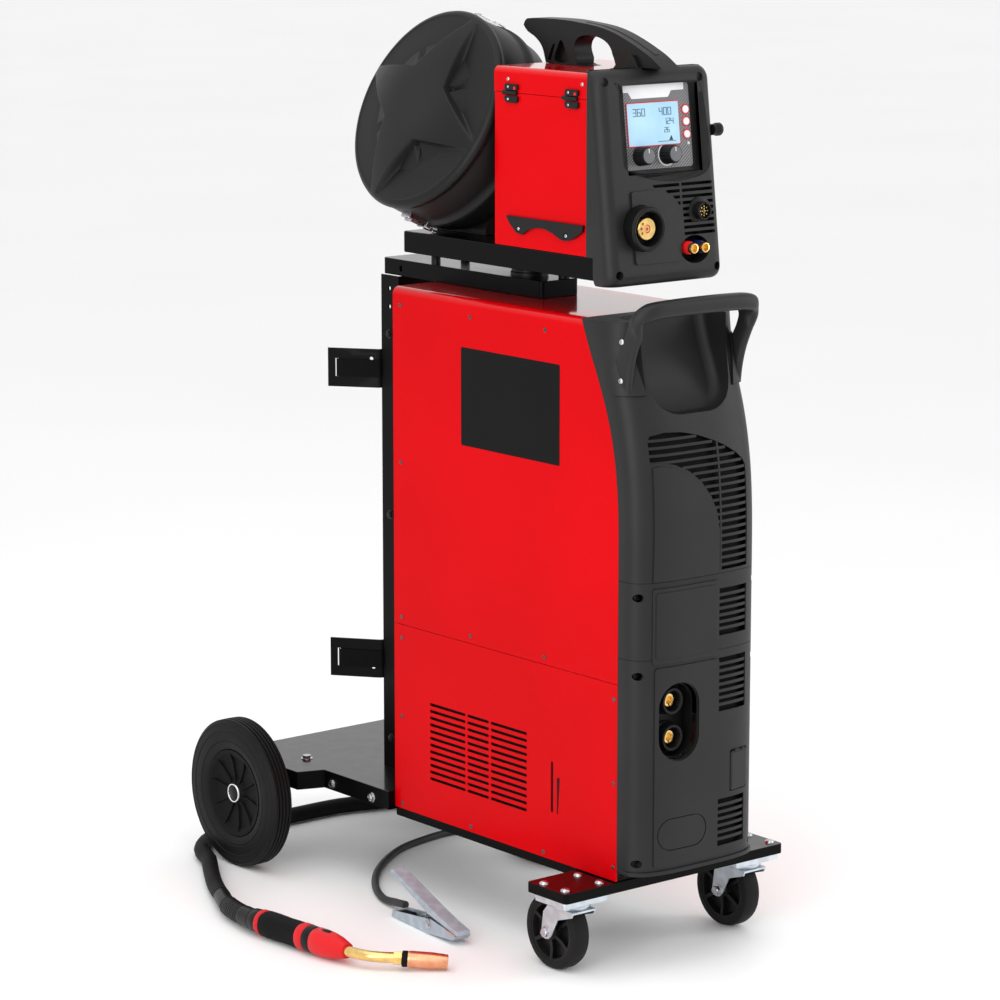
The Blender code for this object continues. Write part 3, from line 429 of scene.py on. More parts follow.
def powder_coat(name, colour, roughness, top_sheen_weight, shine):
    """Powder coat with a clear coat weighted by how far each face looks up: a painted reflection
    that makes the tops shine more than the sides.
    """
    made = Shader(name, roughness, Specular_IOR_Level=shine, Coat_Roughness=0.06)
    axes = made.node("ShaderNodeSeparateXYZ")
    made.link(made.facing, axes, "Vector")
    # Painted reflection: the clear coat grows on faces that look up, so the tops catch more light
    # than the sides.
    top_sheen_mask = made.math("MAXIMUM", axes.outputs["Z"], 0.02)
    made.link(made.math("MULTIPLY", top_sheen_mask, top_sheen_weight), made.base, "Coat Weight")
    made.colour(made.noise(3.0, 3.0), around(colour, 0.05))
    made.rough(made.noise(40.0, 3.0), roughness * 0.85, roughness * 1.2)
    made.bump(made.noise(420.0, 2.0), 0.015, 0.0002)
    return made.material


def moulding_plastic(name, colour, roughness, grain=0.25, size=1400.0, shine=0.20):
    """Injection moulded plastic with a spark eroded grain and faint flow marks."""
    made = Shader(name, roughness, Specular_IOR_Level=shine)
    made.colour(made.noise(9.0, 4.0), around(colour, 0.10))
    made.rough(made.noise(60.0, 3.0), roughness * 0.88, roughness * 1.12)
    made.bump(made.cells(size), grain, 0.0003)
    made.bump(made.noise(25.0, 2.0), 0.05, 0.0010)
    return made.material


def soft_rubber(name, colour, roughness):
    """Matt rubber with a fine grain and lighter, worn patches."""
    made = Shader(name, roughness, Specular_IOR_Level=0.18)
    made.colour(made.noise(14.0, 5.0), around(colour, 0.22))
    made.rough(made.noise(35.0, 4.0), roughness * 0.9, min(1.0, roughness * 1.15))
    made.bump(made.noise(900.0, 2.0), 0.20, 0.0003)
    return made.material


def plated_steel(name, colour, roughness, metallic=1.0):
    """Bright zinc plate: faint spangle, drawn scratches and duller patches."""
    made = Shader(name, roughness, metallic)
    made.colour(made.cells(70.0, "SMOOTH_F1"), around(colour, 0.09))
    made.rough(made.noise(45.0, 4.0), roughness * 0.7, roughness * 1.5)
    made.bump(made.noise(300.0, 2.0, stretch=(1, 8, 1)), 0.06, 0.0003)
    return made.material


def turned_metal(name, colour, roughness):
    """Machined metal with small differences in tone and gloss."""
    made = Shader(name, roughness, 1.0)
    made.colour(made.noise(60.0, 3.0), around(colour, 0.12))
    made.rough(made.noise(120.0, 3.0), roughness * 0.7, roughness * 1.4)
    made.bump(made.noise(500.0, 2.0), 0.05, 0.0003)
    return made.material


def brushed_metal(name, colour, roughness):
    """Metal with a drawn grain that shows in its tone, gloss and relief."""
    made = Shader(name, roughness, 1.0)
    grain = made.noise(60.0, 4.0, stretch=(1, 20, 1))
    made.colour(grain, around(colour, 0.10))
    made.rough(grain, roughness * 0.8, roughness * 1.3)
    made.bump(grain, 0.12, 0.0003)
    return made.material


def weave(name, colour):
    """Woven strap: ribs across, threads along."""
    made = Shader(name, 0.85, Specular_IOR_Level=0.12)
    ribs = made.math("MULTIPLY", made.bands(260.0, "X"), made.bands(330.0, "Z"))
    made.colour(ribs, [(0.0, tuple(c * 0.45 for c in colour)), (0.7, colour)])
    made.bump(ribs, 0.8, 0.0007)
    return made.material


def twill(name, dark, light):
    """Printed carbon look: short diagonal strokes in two directions."""
    made = Shader(name, 0.30, Coat_Weight=0.4)
    made.colour(made.bands(105.0, "DIAGONAL", stretch=(1, 0, -1.2)), [(0.42, dark), (0.58, light)])
    made.bump(made.noise(300.0), 0.05, 0.0002)
    return made.material


def glowing(name, colour, edge, strength):
    """Backlit display, its tone varying a little at random."""
    made = Shader(name, 0.15, Coat_Weight=0.5)
    made.colour(made.noise(30.0, 1.0), [(0.3, edge), (0.7, colour)])
    made.base.inputs["Emission Color"].default_value = (*colour, 1)
    made.base.inputs["Emission Strength"].default_value = strength
    made.bump(made.noise(500.0), 0.02, 0.0002)
    return made.material


def milky(name, colour):
    """Translucent tank plastic."""
    made = Shader(name, 0.45, Subsurface_Weight=0.3)
    made.colour(made.noise(20.0, 3.0), around(colour, 0.05))
    made.bump(made.noise(200.0), 0.08, 0.0004)
    return made.material


# The fourth number weights the painted reflection on faces that look up.
RED_PAINT = powder_coat("red_powder_coat", (0.560, 0.0004, 0.0030), 0.24, 1.0, 0.04)
BLACK_PAINT = powder_coat("black_powder_coat", (0.0018, 0.0018, 0.0019), 0.34, 0.6, 0.06)
PRINT = moulding_plastic("printed_black", (0.0040, 0.0036, 0.0038), 0.42, 0.05, shine=0.08)
GREY = moulding_plastic("textured_grey_plastic", (0.0110, 0.0110, 0.0112), 0.44, 0.30, shine=0.27)
BLACK = moulding_plastic("satin_black_plastic", (0.0050, 0.0050, 0.0052), 0.38, 0.16)
DRUM_BLACK = moulding_plastic("drum_black_plastic", (0.0070, 0.0070, 0.0072), 0.40, 0.22, 900.0)
# Used for real black parts, and also as painted shade for the dark sheets behind openings and the
# dark rim round the handle lugs.
DARK = moulding_plastic("shadow_black_plastic", (0.003, 0.003, 0.003), 0.7, 0.10, shine=0.15)
TYRE = soft_rubber("tyre_rubber", (0.0055, 0.0055, 0.0056), 0.60)
HOSE = soft_rubber("hose_jacket", (0.0030, 0.0027, 0.0025), 0.70)
CABLE = soft_rubber("cable_jacket", (0.034, 0.034, 0.036), 0.45)
ZINC = plated_steel("zinc_plate", (0.60, 0.65, 0.70), 0.36)
CLAMP_ZINC = plated_steel("clamp_zinc_plate", (0.40, 0.46, 0.52), 0.46, 0.35)
CHROME = turned_metal("bright_steel", (0.75, 0.75, 0.76), 0.14)
SCREW = turned_metal("screw_steel", (0.52, 0.52, 0.54), 0.24)
DARK_SCREW = turned_metal("blackened_screw_steel", (0.14, 0.12, 0.12), 0.30)
BRASS = turned_metal("brass", (0.80, 0.55, 0.20), 0.22)
COPPER = turned_metal("copper", (0.78, 0.36, 0.20), 0.28)
ALUMINIUM = brushed_metal("brushed_aluminium", (0.70, 0.70, 0.71), 0.36)
RED_PLASTIC = moulding_plastic("red_plastic", (0.58, 0.012, 0.016), 0.36, 0.10)
BLUE_PLASTIC = moulding_plastic("blue_plastic", (0.004, 0.009, 0.060), 0.36, 0.10)
WHITE_PLASTIC = moulding_plastic("white_print", (0.72, 0.72, 0.74), 0.30, 0.04)
KNOB_GREY = moulding_plastic("knob_cap_grey", (0.13, 0.13, 0.14), 0.40, 0.12)
DISPLAY = glowing("display_glass", (0.35, 0.55, 0.70), (0.28, 0.48, 0.65), 0.25)
DIGIT = moulding_plastic("display_digit", (0.03, 0.06, 0.08), 0.5, 0.02)
CARBON = twill("panel_twill", (0.045, 0.045, 0.048), (0.20, 0.20, 0.21))
STRAP = weave("strap_webbing", (0.0055, 0.0055, 0.0055))
TANK = milky("tank_plastic", (0.72, 0.73, 0.68))
COIL_WIRE = brushed_metal("copper_coated_wire", (0.72, 0.40, 0.26), 0.30)
BOARD = moulding_plastic("module_grey", (0.22, 0.23, 0.24), 0.55, 0.2)
# --- Camera, light and floor --------------------------------------------------------------------

CAMERA_SPOT = Vector((-3.634, -4.511, 1.758))
CAMERA_BACK = Vector((-0.6177, -0.7637, 0.1877))
CAMERA_RIGHT = Vector((0.7775, -0.6289, 0.0))
CAMERA_LENS = 132.18
FLOOR_HALF = 60.0
FLOOR_DROP = 0.0002


def make_camera():
    data = bpy.data.cameras.new("camera")
    data.sensor_width = 36
    data.lens = CAMERA_LENS
    data.clip_end = 50
    camera = added("camera", data)
    back = CAMERA_BACK.normalized()
    right = CAMERA_RIGHT.normalized()
    turn = Matrix((right, back.cross(right), back)).transposed()
    camera.matrix_world = Matrix.Translation(CAMERA_SPOT) @ turn.to_4x4()
    bpy.context.scene.camera = camera


def soft_light(name, spot, aim, size, power):
    data = bpy.data.lights.new(name, "AREA")
    data.shape = "RECTANGLE"
    data.size, data.size_y = size
    data.energy = power
    light = added(name, data)
    light.location = spot
    light.rotation_euler = (Vector(aim) - Vector(spot)).to_track_quat("-Z", "Y").to_euler()


def make_studio():
    scene = bpy.context.scene
    scene.view_settings.view_transform = "Standard"
    world = bpy.data.worlds.new("studio")
    scene.world = world
    world.use_nodes = True
    sky = world.node_tree.nodes["Background"]
    sky.inputs["Color"].default_value = (1, 1, 1, 1)
    sky.inputs["Strength"].default_value = 0.95
    soft_light("overhead", (-0.8, -0.6, 3.2), (0, 0, 0.4), (3.0, 3.0), 30)
    soft_light("front_left", (-2.6, -2.2, 1.9), (0, 0, 0.7), (1.2, 2.6), 26)
    soft_light("right_strip", (2.4, -1.9, 1.5), (0, -0.3, 0.7), (0.6, 2.2), 18)
    soft_light("left_strip", (-3.4, -1.5, 1.0), (0, 0, 0.65), (0.22, 2.2), 22)
    floor = Shader("studio_floor", 0.55)
    floor.colour(floor.noise(0.8, 2.0), [(0.3, (0.95, 0.95, 0.95)), (0.7, (0.97, 0.97, 0.97))])
    edges = (-FLOOR_HALF, 0.0, FLOOR_HALF)
    rows = [[(x, y, -FLOOR_DROP) for x in edges] for y in edges]
    ground = new_object("floor", skin(rows))
    ground.data.materials.append(floor.material)


# --- Leads --------------------------------------------------------------------------------------

HOSE_RADIUS = 0.0135
HOSE_COIL_CENTRE = (0.315, 0.545)
HOSE_COIL_RADIUS = 0.150
EARTH_RADIUS = 0.0062
EARTH_COIL_CENTRE = (0.345, 0.795)
EARTH_COIL_RADIUS = 0.070
# Gap between the leads and the floor
LIFT = 0.0004
WINDING_STEP_DEG = 9
# Machine coordinates of the leads' middle lines where they aren't coiled, as in the CAD source
HOSE_ROUTE = ((-0.3968, 0.6574, 0.018), (-0.380, 0.692, 0.0150), (-0.354, 0.742, HOSE_RADIUS),
              (-0.320, 0.800, HOSE_RADIUS), (-0.288, 0.853, HOSE_RADIUS),
              (-0.263, 0.910, HOSE_RADIUS), (-0.208, 0.958, HOSE_RADIUS),
              (-0.120, 0.983, HOSE_RADIUS), (-0.022, 0.985, HOSE_RADIUS),
              (0.080, 0.983, HOSE_RADIUS), (0.152, 0.962, HOSE_RADIUS),
              (0.230, 0.945, HOSE_RADIUS), (0.310, 0.938, HOSE_RADIUS),
              (0.390, 0.912, HOSE_RADIUS), (0.442, 0.860, HOSE_RADIUS),
              (0.466, 0.790, HOSE_RADIUS), (0.4715, 0.710, HOSE_RADIUS),
              (0.4660, 0.6385, HOSE_RADIUS))
EARTH_ROUTE = ((-0.1915, 0.4375, 0.0150), (-0.1890, 0.465, 0.0120),
               (-0.1800, 0.513, EARTH_RADIUS), (-0.1450, 0.580, EARTH_RADIUS),
               (-0.0810, 0.653, EARTH_RADIUS), (0.0090, 0.717, EARTH_RADIUS),
               (0.0940, 0.743, EARTH_RADIUS), (0.1500, 0.748, EARTH_RADIUS),
               (0.2100, 0.742, EARTH_RADIUS), (0.2650, 0.7285, EARTH_RADIUS),
               (0.2935, 0.7220, EARTH_RADIUS))
HOSE_PLUG = Vector((HOSE_COIL_CENTRE[0] + 0.0538, HOSE_COIL_CENTRE[1] + 0.0619, 0.0275))
HOSE_PLUG_AXIS = Vector((0.848, -0.530, 0))
EARTH_PLUG = Vector((EARTH_COIL_CENTRE[0] + 0.0688, EARTH_COIL_CENTRE[1] + 0.0172, 0.0520))
EARTH_PLUG_AXIS = Vector((0.122, 0.9925, 0))


def smoothed(t):
    """A soft step from 0 to 1."""
    t = min(1.0, max(0.0, t))
    return t * t * (3 - 2 * t)


def winding(centre, first_deg, way, stations):
    """Points round a centre; between stations (degrees gone, radius, height) all changes softly."""
    points = []
    for gone in range(0, int(stations[-1][0]) + 1, WINDING_STEP_DEG):
        before = [s for s in stations if s[0] <= gone][-1]
        after = [s for s in stations if s[0] > gone][:1] or [before]
        span = max(after[0][0] - before[0], 1)
        share = smoothed((gone - before[0]) / span)
        radius = before[1] + (after[0][1] - before[1]) * share
        height = before[2] + (after[0][2] - before[2]) * share
        angle = math.radians(first_deg + way * gone)
        points.append((centre[0] + radius * math.cos(angle), centre[1] + radius * math.sin(angle),
                       height))
    return points


def hose_path():
    """On the floor round the cart, then a turn and a half, with the end brought in to the plug."""
    low = HOSE_RADIUS
    high = low + 2 * HOSE_RADIUS
    first = -10
    last = 522
    stations = [(0, HOSE_COIL_RADIUS, low), (250, HOSE_COIL_RADIUS, low),
                (325, HOSE_COIL_RADIUS, high), (last, HOSE_COIL_RADIUS, high)]
    turns = winding(HOSE_COIL_CENTRE, first, -1, stations)
    bend = 4 * 2 * HOSE_RADIUS
    leave = math.radians(first - last)
    offset = HOSE_COIL_RADIUS - bend
    middle = (HOSE_COIL_CENTRE[0] + offset * math.cos(leave),
              HOSE_COIL_CENTRE[1] + offset * math.sin(leave))
    drop = [(0, bend, high), (75, bend, 0.0262), (120, bend, 0.0271)]
    inward = winding(middle, first - last, -1, drop)[1:]
    rear = HOSE_PLUG - HOSE_PLUG_AXIS * 0.045
    points = [*HOSE_ROUTE, *turns, *inward, tuple(rear - Vector((0, 0, LIFT))),
              tuple(rear + HOSE_PLUG_AXIS * 0.02)]
    return [Vector(p) + Vector((0, 0, LIFT)) for p in points]


def earth_path():
    """Across the floor under the cart, then three layers of two turns, up to the plug on them."""
    outer = EARTH_COIL_RADIUS + EARTH_RADIUS
    inner = EARTH_COIL_RADIUS - EARTH_RADIUS
    layers = [EARTH_RADIUS * (1 + 2 * i) for i in range(3)]
    plan = [(outer, 0), (inner, 0), (inner, 1), (outer, 1), (outer, 2), (inner, 2)]
    stations = []
    for i, (radius, layer) in enumerate(plan):
        stations.append((360 * i, radius, layers[layer]))
        if i + 1 < len(plan):
            stations.append((360 * i + 305, radius, layers[layer]))
    stations.append((1874, 0.067, EARTH_PLUG.z - LIFT))
    turns = winding(EARTH_COIL_CENTRE, -98, 1, stations)
    rear = EARTH_PLUG - EARTH_PLUG_AXIS * 0.036
    return [Vector(p) + Vector((0, 0, LIFT))
            for p in [*EARTH_ROUTE, *turns]] + [rear + EARTH_PLUG_AXIS * 0.012]


def lead(name, path, radius, material, nodes):
    """A lead as one curve that follows its path."""
    route = smooth_route(path, radius * 1.6)
    data = bpy.data.curves.new(name, "CURVE")
    data.dimensions = "3D"
    data.bevel_depth = radius
    data.bevel_resolution = 6
    data.use_fill_caps = True
    spline = data.splines.new("POLY")
    spline.points.add(len(route) - 1)
    for point, spot in zip(spline.points, route):
        point.co = (*(spot + ORIGIN), 1)
    spline.use_smooth = True
    data.materials.append(material)
    obj = added(name, data)
    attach(obj, "chassis")
    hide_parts(*nodes)
    return obj


def plug_grip(radius, ribs, start, end, depth):
    """The stretch of a profile from start to end as a row of ribs."""
    made = []
    for i in range(ribs):
        low = start + (end - start) * i / ribs
        high = start + (end - start) * (i + 0.62) / ribs
        made += [(radius, low), (radius, high), (radius - depth, high + 0.0004),
                 (radius - depth, low + (end - start) / ribs)]
    return made


def make_plugs():
    """Euro plug of the torch and bayonet plug of the earth lead."""
    boot = [(0.0142, -0.060), (0.0160, -0.060), (0.0165, -0.020), (0.0200, -0.008)]
    nut = plug_grip(0.0265, 7, -0.006, 0.027, 0.0014)
    front = [(0.0262, 0.0285), (0.0190, 0.0290), (0.0190, 0.0300), (0.0142, 0.0300),
             (0.0140, 0.052), (0.0, 0.052)]
    shell = lathe([*boot, *nut, *front, (0.0, -0.045)], HOSE_PLUG, HOSE_PLUG_AXIS, 48)
    euro = piece("torch_plug_shell", shell, BLACK, "chassis", ["torch_plug"])
    tip = HOSE_PLUG + HOSE_PLUG_AXIS * 0.052
    side = HOSE_PLUG_AXIS.cross(Vector((0, 0, 1)))
    pins = lathe([(0.0045, -0.001), (0.0045, 0.017), (0.0022, 0.018), (0.0022, 0.012), (0.0, 0.012),
                  (0.0, -0.001)], tip, HOSE_PLUG_AXIS, 24)
    small = ((0.0085, 0.0, 0.0014, 0.014), (-0.0085, 0.0, 0.0014, 0.014),
             (0.0, 0.0088, 0.0020, 0.010))
    for out, up, radius, reach in small:
        spot = tip + side * out + Vector((0, 0, up))
        pin = lathe([(radius, -0.001), (radius, reach - 0.001), (radius * 0.5, reach), (0.0, reach),
                     (0.0, -0.001)], spot, HOSE_PLUG_AXIS, 14)
        pins = together(pins, pin)
    contacts = piece("torch_plug_contacts", pins, BRASS, "chassis")
    grip = plug_grip(0.0140, 6, -0.018, 0.010, 0.0009)
    body = [(0.0064, -0.046), (0.0084, -0.046), (0.0092, -0.030), (0.0118, -0.020)]
    nose = [(0.0140, 0.0135), (0.0110, 0.0150), (0.0, 0.0150), (0.0, -0.030)]
    shell = lathe([*body, *grip, *nose], EARTH_PLUG, EARTH_PLUG_AXIS, 40)
    earth = piece("earth_plug_shell", shell, BLACK, "chassis", ["earth_plug"])
    metal = [(0.0, 0.0140), (0.0064, 0.0140), (0.0064, 0.030), (0.0060, 0.0385), (0.0048, 0.0400),
             (0.0, 0.0400)]
    key = prism(rounded((-0.0014, 0.024), (0.0014, 0.030), 0.0006, 2), 0.0050, 0.0078, FRONT)
    turn = Matrix.Rotation(math.atan2(EARTH_PLUG_AXIS.y, EARTH_PLUG_AXIS.x) - math.pi / 2, 4, "Z")
    upright = Matrix.Rotation(-math.pi / 2, 4, "X")
    key = moved(key, Matrix.Translation(EARTH_PLUG) @ turn @ upright)
    pin = together(lathe(metal, EARTH_PLUG, EARTH_PLUG_AXIS, 32), key)
    bayonet = piece("earth_plug_pin", pin, BRASS, "chassis")
    return [euro, contacts], [earth, bayonet]


def make_leads():
    euro, bayonet = make_plugs()
    hose = lead("torch_hose_package", hose_path(), HOSE_RADIUS, HOSE,
                ["torch_hose", "torch_hose_coil"])
    earth = lead("earth_lead", earth_path(), EARTH_RADIUS, CABLE,
                 ["earth_cable", "earth_cable_coil"])
# --- Cabinet ------------------------------------------------------------------------------------

CABINET_HALF = 0.124
CABINET_BASE = 0.143
CABINET_TOP = 0.997
CABINET_DEPTH = 0.552
COVER_SEAM = 0.450
SHEET = 0.0016
GAP = 0.0003
# Height and Y of the line where the sides meet the front moulding, and of the moulding's middle
FRONT_LINE = ((0.100, 0.0), (0.650, 0.0), (0.752, 0.004), (0.821, 0.016), (0.865, 0.030),
              (0.908, 0.048), (0.950, 0.068), (1.010, 0.093))
NOSE_LINE = ((0.100, -0.0542), (0.620, -0.0542), (0.700, -0.0530), (0.780, -0.0465),
             (0.850, -0.0335), (0.900, -0.020), (0.950, -0.012), (1.010, -0.010))


def make_upper_cover():
    """Bent sheet over the cabinet, from one seam over the top to the other."""
    radius = 0.012
    corner = CABINET_HALF - radius
    heights = np.linspace(COVER_SEAM + GAP, CABINET_TOP - radius, 40)
    right = [(CABINET_HALF, z) for z in heights] + arc((corner, CABINET_TOP - radius), radius, 0,
                                                       90, 8)[1:]
    top = [(x, CABINET_TOP) for x in np.linspace(corner, -corner, 12)[1:-1]]
    path = right + top + [(-x, z) for x, z in reversed(right)]
    path = [(x, z, line_at(FRONT_LINE, z)) for x, z in path]
    rows = [[(x, front + (CABINET_DEPTH - front) * share, z) for x, z, front in path]
            for share in np.linspace(0, 1, 14)]
    cover = thickened(new_object("upper_cover_sheet", skin(rows)), SHEET)
    bm = bmesh.new()
    bm.from_mesh(cover.data)
    bmesh.ops.translate(bm, vec=-ORIGIN, verts=bm.verts)
    bmesh.ops.recalc_face_normals(bm, faces=bm.faces)
    bpy.data.objects.remove(cover)
    piece("upper_cover_sheet", bm, RED_PAINT, "chassis", ["upper_cover"], 0.0005)


def slot_hole(y0, y1, z0, z1, sign):
    """Cutter for one rounded slot through a side."""
    radius = min(y1 - y0, z1 - z0) * 0.45
    x = sign * CABINET_HALF
    return prism(rounded((y0, z0), (y1, z1), radius, 4), x - 0.004, x + 0.004, SIDE)


def make_lower_panels():
    """Side panels with twelve rows of slots, and a sight slot for the coolant on the left."""
    columns = ((0.214, 0.304), (0.3085, 0.363), (0.3675, 0.4595))
    lowest, pitch, tall = 0.2065, 0.01115, 0.0050
    for side, sign in both_sides():
        xs = sorted((sign * CABINET_HALF, sign * (CABINET_HALF - SHEET)))
        holes = []
        for row in range(12):
            z = lowest + pitch * row
            holes += [slot_hole(y0, y1, z, z + tall, sign) for y0, y1 in columns]
        if side == "left":
            holes.append(slot_hole(0.1500, 0.1562, 0.219, 0.300, sign))
        sheet = prism(rounded((0.0, CABINET_BASE), (CABINET_DEPTH, COVER_SEAM - GAP), 0.001, 2),
                      xs[0], xs[1], SIDE)
        piece(f"lower_panel_{side}_sheet", sheet, RED_PAINT, "chassis",
              [f"lower_panel_{side}"], 0.0004, minus=[together(*holes)])
        # A dark box just inside each side's slots: painted shade for the space behind them.
        x = sign * (CABINET_HALF - 0.007)
        shade_sheet = skin([[(x, y, z) for y in (0.200, 0.475)] for z in (0.196, 0.345)])
        grown = bmesh.ops.extrude_face_region(shade_sheet, geom=shade_sheet.faces[:])["geom"]
        inner = [v for v in grown if isinstance(v, bmesh.types.BMVert)]
        bmesh.ops.translate(shade_sheet, vec=(sign * -0.002, 0, 0), verts=inner)
        bmesh.ops.recalc_face_normals(shade_sheet, faces=shade_sheet.faces)
        piece(f"slot_painted_shade_{side}", shade_sheet, DARK, "chassis")
    gauge = prism(rounded((0.1455, 0.210), (0.1610, 0.309), 0.004), -CABINET_HALF + 0.0022,
                  -CABINET_HALF + 0.0040, SIDE)
    piece("coolant_gauge", gauge, DARK, "chassis", bevel=0.0005)
    mark = [(0.1385, 0.219), (0.1408, 0.219), (0.1408, 0.277), (0.1345, 0.277)]
    piece("coolant_level_mark", prism(mark, -CABINET_HALF - 0.0003, -CABINET_HALF + 0.0006, SIDE),
          PRINT, "chassis", bevel=0.0001)


def make_side_screws():
    """Pan head screws along the edges of the side sheets."""
    spots = [(y, z) for z in (0.969, 0.7155, 0.4624) for y in (0.532, 0.354, 0.172)]
    spots = [spot for spot in spots if spot not in ((0.354, 0.7155), (0.172, 0.7155))]
    spots += [(0.532, 0.428), (0.532, 0.298), (0.532, 0.1525), (0.353, 0.1520), (0.173, 0.1515)]
    spots += [(0.0075, z) for z in (0.4265, 0.296, 0.1645)]
    for side, sign in both_sides():
        heads = [screw_head((sign * CABINET_HALF, y, z), (sign, 0, 0), 0.0036) for y, z in spots]
        piece(f"side_screws_{side}", together(*heads), DARK_SCREW, "chassis")


def make_prints():
    """Plain dark rectangles in place of the maker's print."""
    for side, sign in both_sides():
        xs = sorted((sign * (CABINET_HALF + 0.0003), sign * (CABINET_HALF - 0.0005)))
        sheet = prism(rounded((0.137, 0.765), (0.377, 0.920), 0.003), xs[0], xs[1], SIDE)
        piece(f"plain_print_{side}", sheet, PRINT, "chassis", bevel=0.0001)


def ring_wire(centre, radius, wire):
    """A round wire bent to a closed upright ring."""
    angles = np.linspace(0, math.tau, 10, False)
    circle = [(radius + wire * math.cos(a), wire * math.sin(a)) for a in angles]
    return lathe(circle, centre, (0, 1, 0), 48)


def make_rear():
    """Guard over the fan, mains switch and cable gland on the rear panel."""
    y = CABINET_DEPTH - 0.003
    hub = (0, y + 0.0045, 0.700)
    rings = [ring_wire(hub, r, 0.0013) for r in (0.016, 0.027, 0.038, 0.049, 0.060, 0.071)]
    spokes = []
    for i in range(4):
        angle = math.radians(45 + 90 * i)
        out = Vector((math.cos(angle), 0, math.sin(angle)))
        start = Vector(hub) + out * 0.015
        end = Vector(hub) + out * 0.080
        spokes.append(tube([start, start.lerp(end, 0.85), end - Vector((0, 0.004, 0))], 0.0015, 10))
        spokes.append(screw_head(end + Vector((0, -0.0042, 0)), (0, 1, 0), 0.0050, 0.0024))
    piece("fan_guard", together(*rings, *spokes), SCREW, "chassis")
    plate = prism(rounded((-0.040, 0.380), (0.040, 0.436), 0.006), y - 0.001, y + 0.0025, FRONT)
    piece("rear_switch_plate", plate, BLACK, "chassis", bevel=0.0006)
    boss = lathe([(0.0, 0.0), (0.020, 0.0), (0.019, 0.004), (0.013, 0.005), (0.012, 0.012),
                  (0.0, 0.0125)], (-0.002, y + 0.002, 0.408), (0, 1, 0), 40)
    lever = prism(rounded((-0.0055, 0.391), (0.0015, 0.425), 0.003), y + 0.010, y + 0.020, FRONT)
    piece("rear_switch_knob", together(boss, lever), RED_PLASTIC, "chassis",
          bevel=0.0006)
    gland = lathe([(0.008, -0.002), (0.020, -0.002), (0.020, 0.006), (0.017, 0.007), (0.016, 0.016),
                   (0.012, 0.018), (0.008, 0.018)], (0.070, y, 0.300), (0, 1, 0), 24)
    piece("rear_cable_gland", gland, BLACK, "chassis", bevel=0.0004)
    heads = [screw_head((x, y, z), (0, 1, 0), 0.0040) for x in (-0.108, 0.108)
             for z in (0.165, 0.440, 0.720, 0.965)]
    piece("rear_screws", together(*heads), SCREW, "chassis")
# --- Front mouldings ----------------------------------------------------------------------------

SECTION_POWER = 3.4
SEAM_UPPER = 0.610
FRONT_FOOT = 0.1573
FRONT_STEPS = 72
VENT_PITCH = 0.0111
SLAT_THICK = 0.0055
SCREW_HOLE_RADIUS = 0.0062


def front_y(x, height):
    """Y of the front surface, a superellipse from side to side."""
    rear = line_at(FRONT_LINE, height) - 2 * GAP
    depth = rear - line_at(NOSE_LINE, height)
    share = min(1.0, abs(x) / CABINET_HALF)
    return rear - depth * (1 - share ** SECTION_POWER) ** (1 / SECTION_POWER)


def front_ring(height, out, back):
    """Outline of the front at a height, from its left edge to its right one, moved out so far."""
    rear = line_at(FRONT_LINE, height) - 2 * GAP
    depth = rear - line_at(NOSE_LINE, height) + out
    half = CABINET_HALF + out
    ring = []
    for i in range(FRONT_STEPS + 1):
        angle = math.pi * i / FRONT_STEPS
        across = abs(math.cos(angle)) ** (2 / SECTION_POWER)
        forward = abs(math.sin(angle)) ** (2 / SECTION_POWER)
        ring.append((math.copysign(across, -math.cos(angle)) * half, rear - depth * forward,
                     height))
    if back:
        ring = [(ring[0][0], rear + back, height), *ring, (ring[-1][0], rear + back, height)]
    return ring


def front_solid(low, high, out=0.0, back=0.0):
    """The space inside the front surface between two heights."""
    count = max(2, int((high - low) / 0.012))
    return loft([front_ring(z, out, back) for z in np.linspace(low, high, count)])


def slats(rows, x0, x1, depth, height):
    """Bars across a vent that follow the front surface; x0 and x1 may depend on the height."""
    bars = []
    for z in rows:
        left = x0(z) if callable(x0) else x0
        right = x1(z) if callable(x1) else x1
        if right - left < 0.006:
            continue
        spots = np.linspace(left, right, max(3, int((right - left) / 0.008)))
        profile = [(0.0, height * 0.5), (-SLAT_THICK, height * 0.1), (-SLAT_THICK, -height * 0.25),
                   (0.0, -height * 0.5)]
        section = []
        for x in spots:
            y = front_y(x, z) + depth
            section.append([(x, y - out, z + up) for out, up in profile])
        bars.append(loft(section))
    return bars


def add_pad(name, outline, low, high, out, bevel, minus=()):
    """A raised field of the front: the outline's prism kept only near the surface."""
    body = prism(outline, -0.12, 0.05, FRONT)
    keep = front_solid(low - 0.01, high + 0.01, out)
    core = front_solid(low - 0.02, high + 0.02, -0.0016)
    obj = new_object(name, body)
    boolean(obj, [keep], "INTERSECT")
    boolean(obj, [core], "DIFFERENCE")
    boolean(obj, minus, "DIFFERENCE")
    return dressed(obj, GREY, "chassis", bevel)


def moulding(name, low, high, node, cutters, hollow_top=None):
    """One of the front's three mouldings, hollow from behind, with its openings."""
    obj = new_object(name, front_solid(low, high))
    room = front_solid(low + 0.003, hollow_top or high - 0.003, -0.0030, back=0.02)
    boolean(obj, [room], "DIFFERENCE")
    boolean(obj, cutters, "DIFFERENCE")
    return dressed(obj, GREY, "chassis", 0.0009, [node])


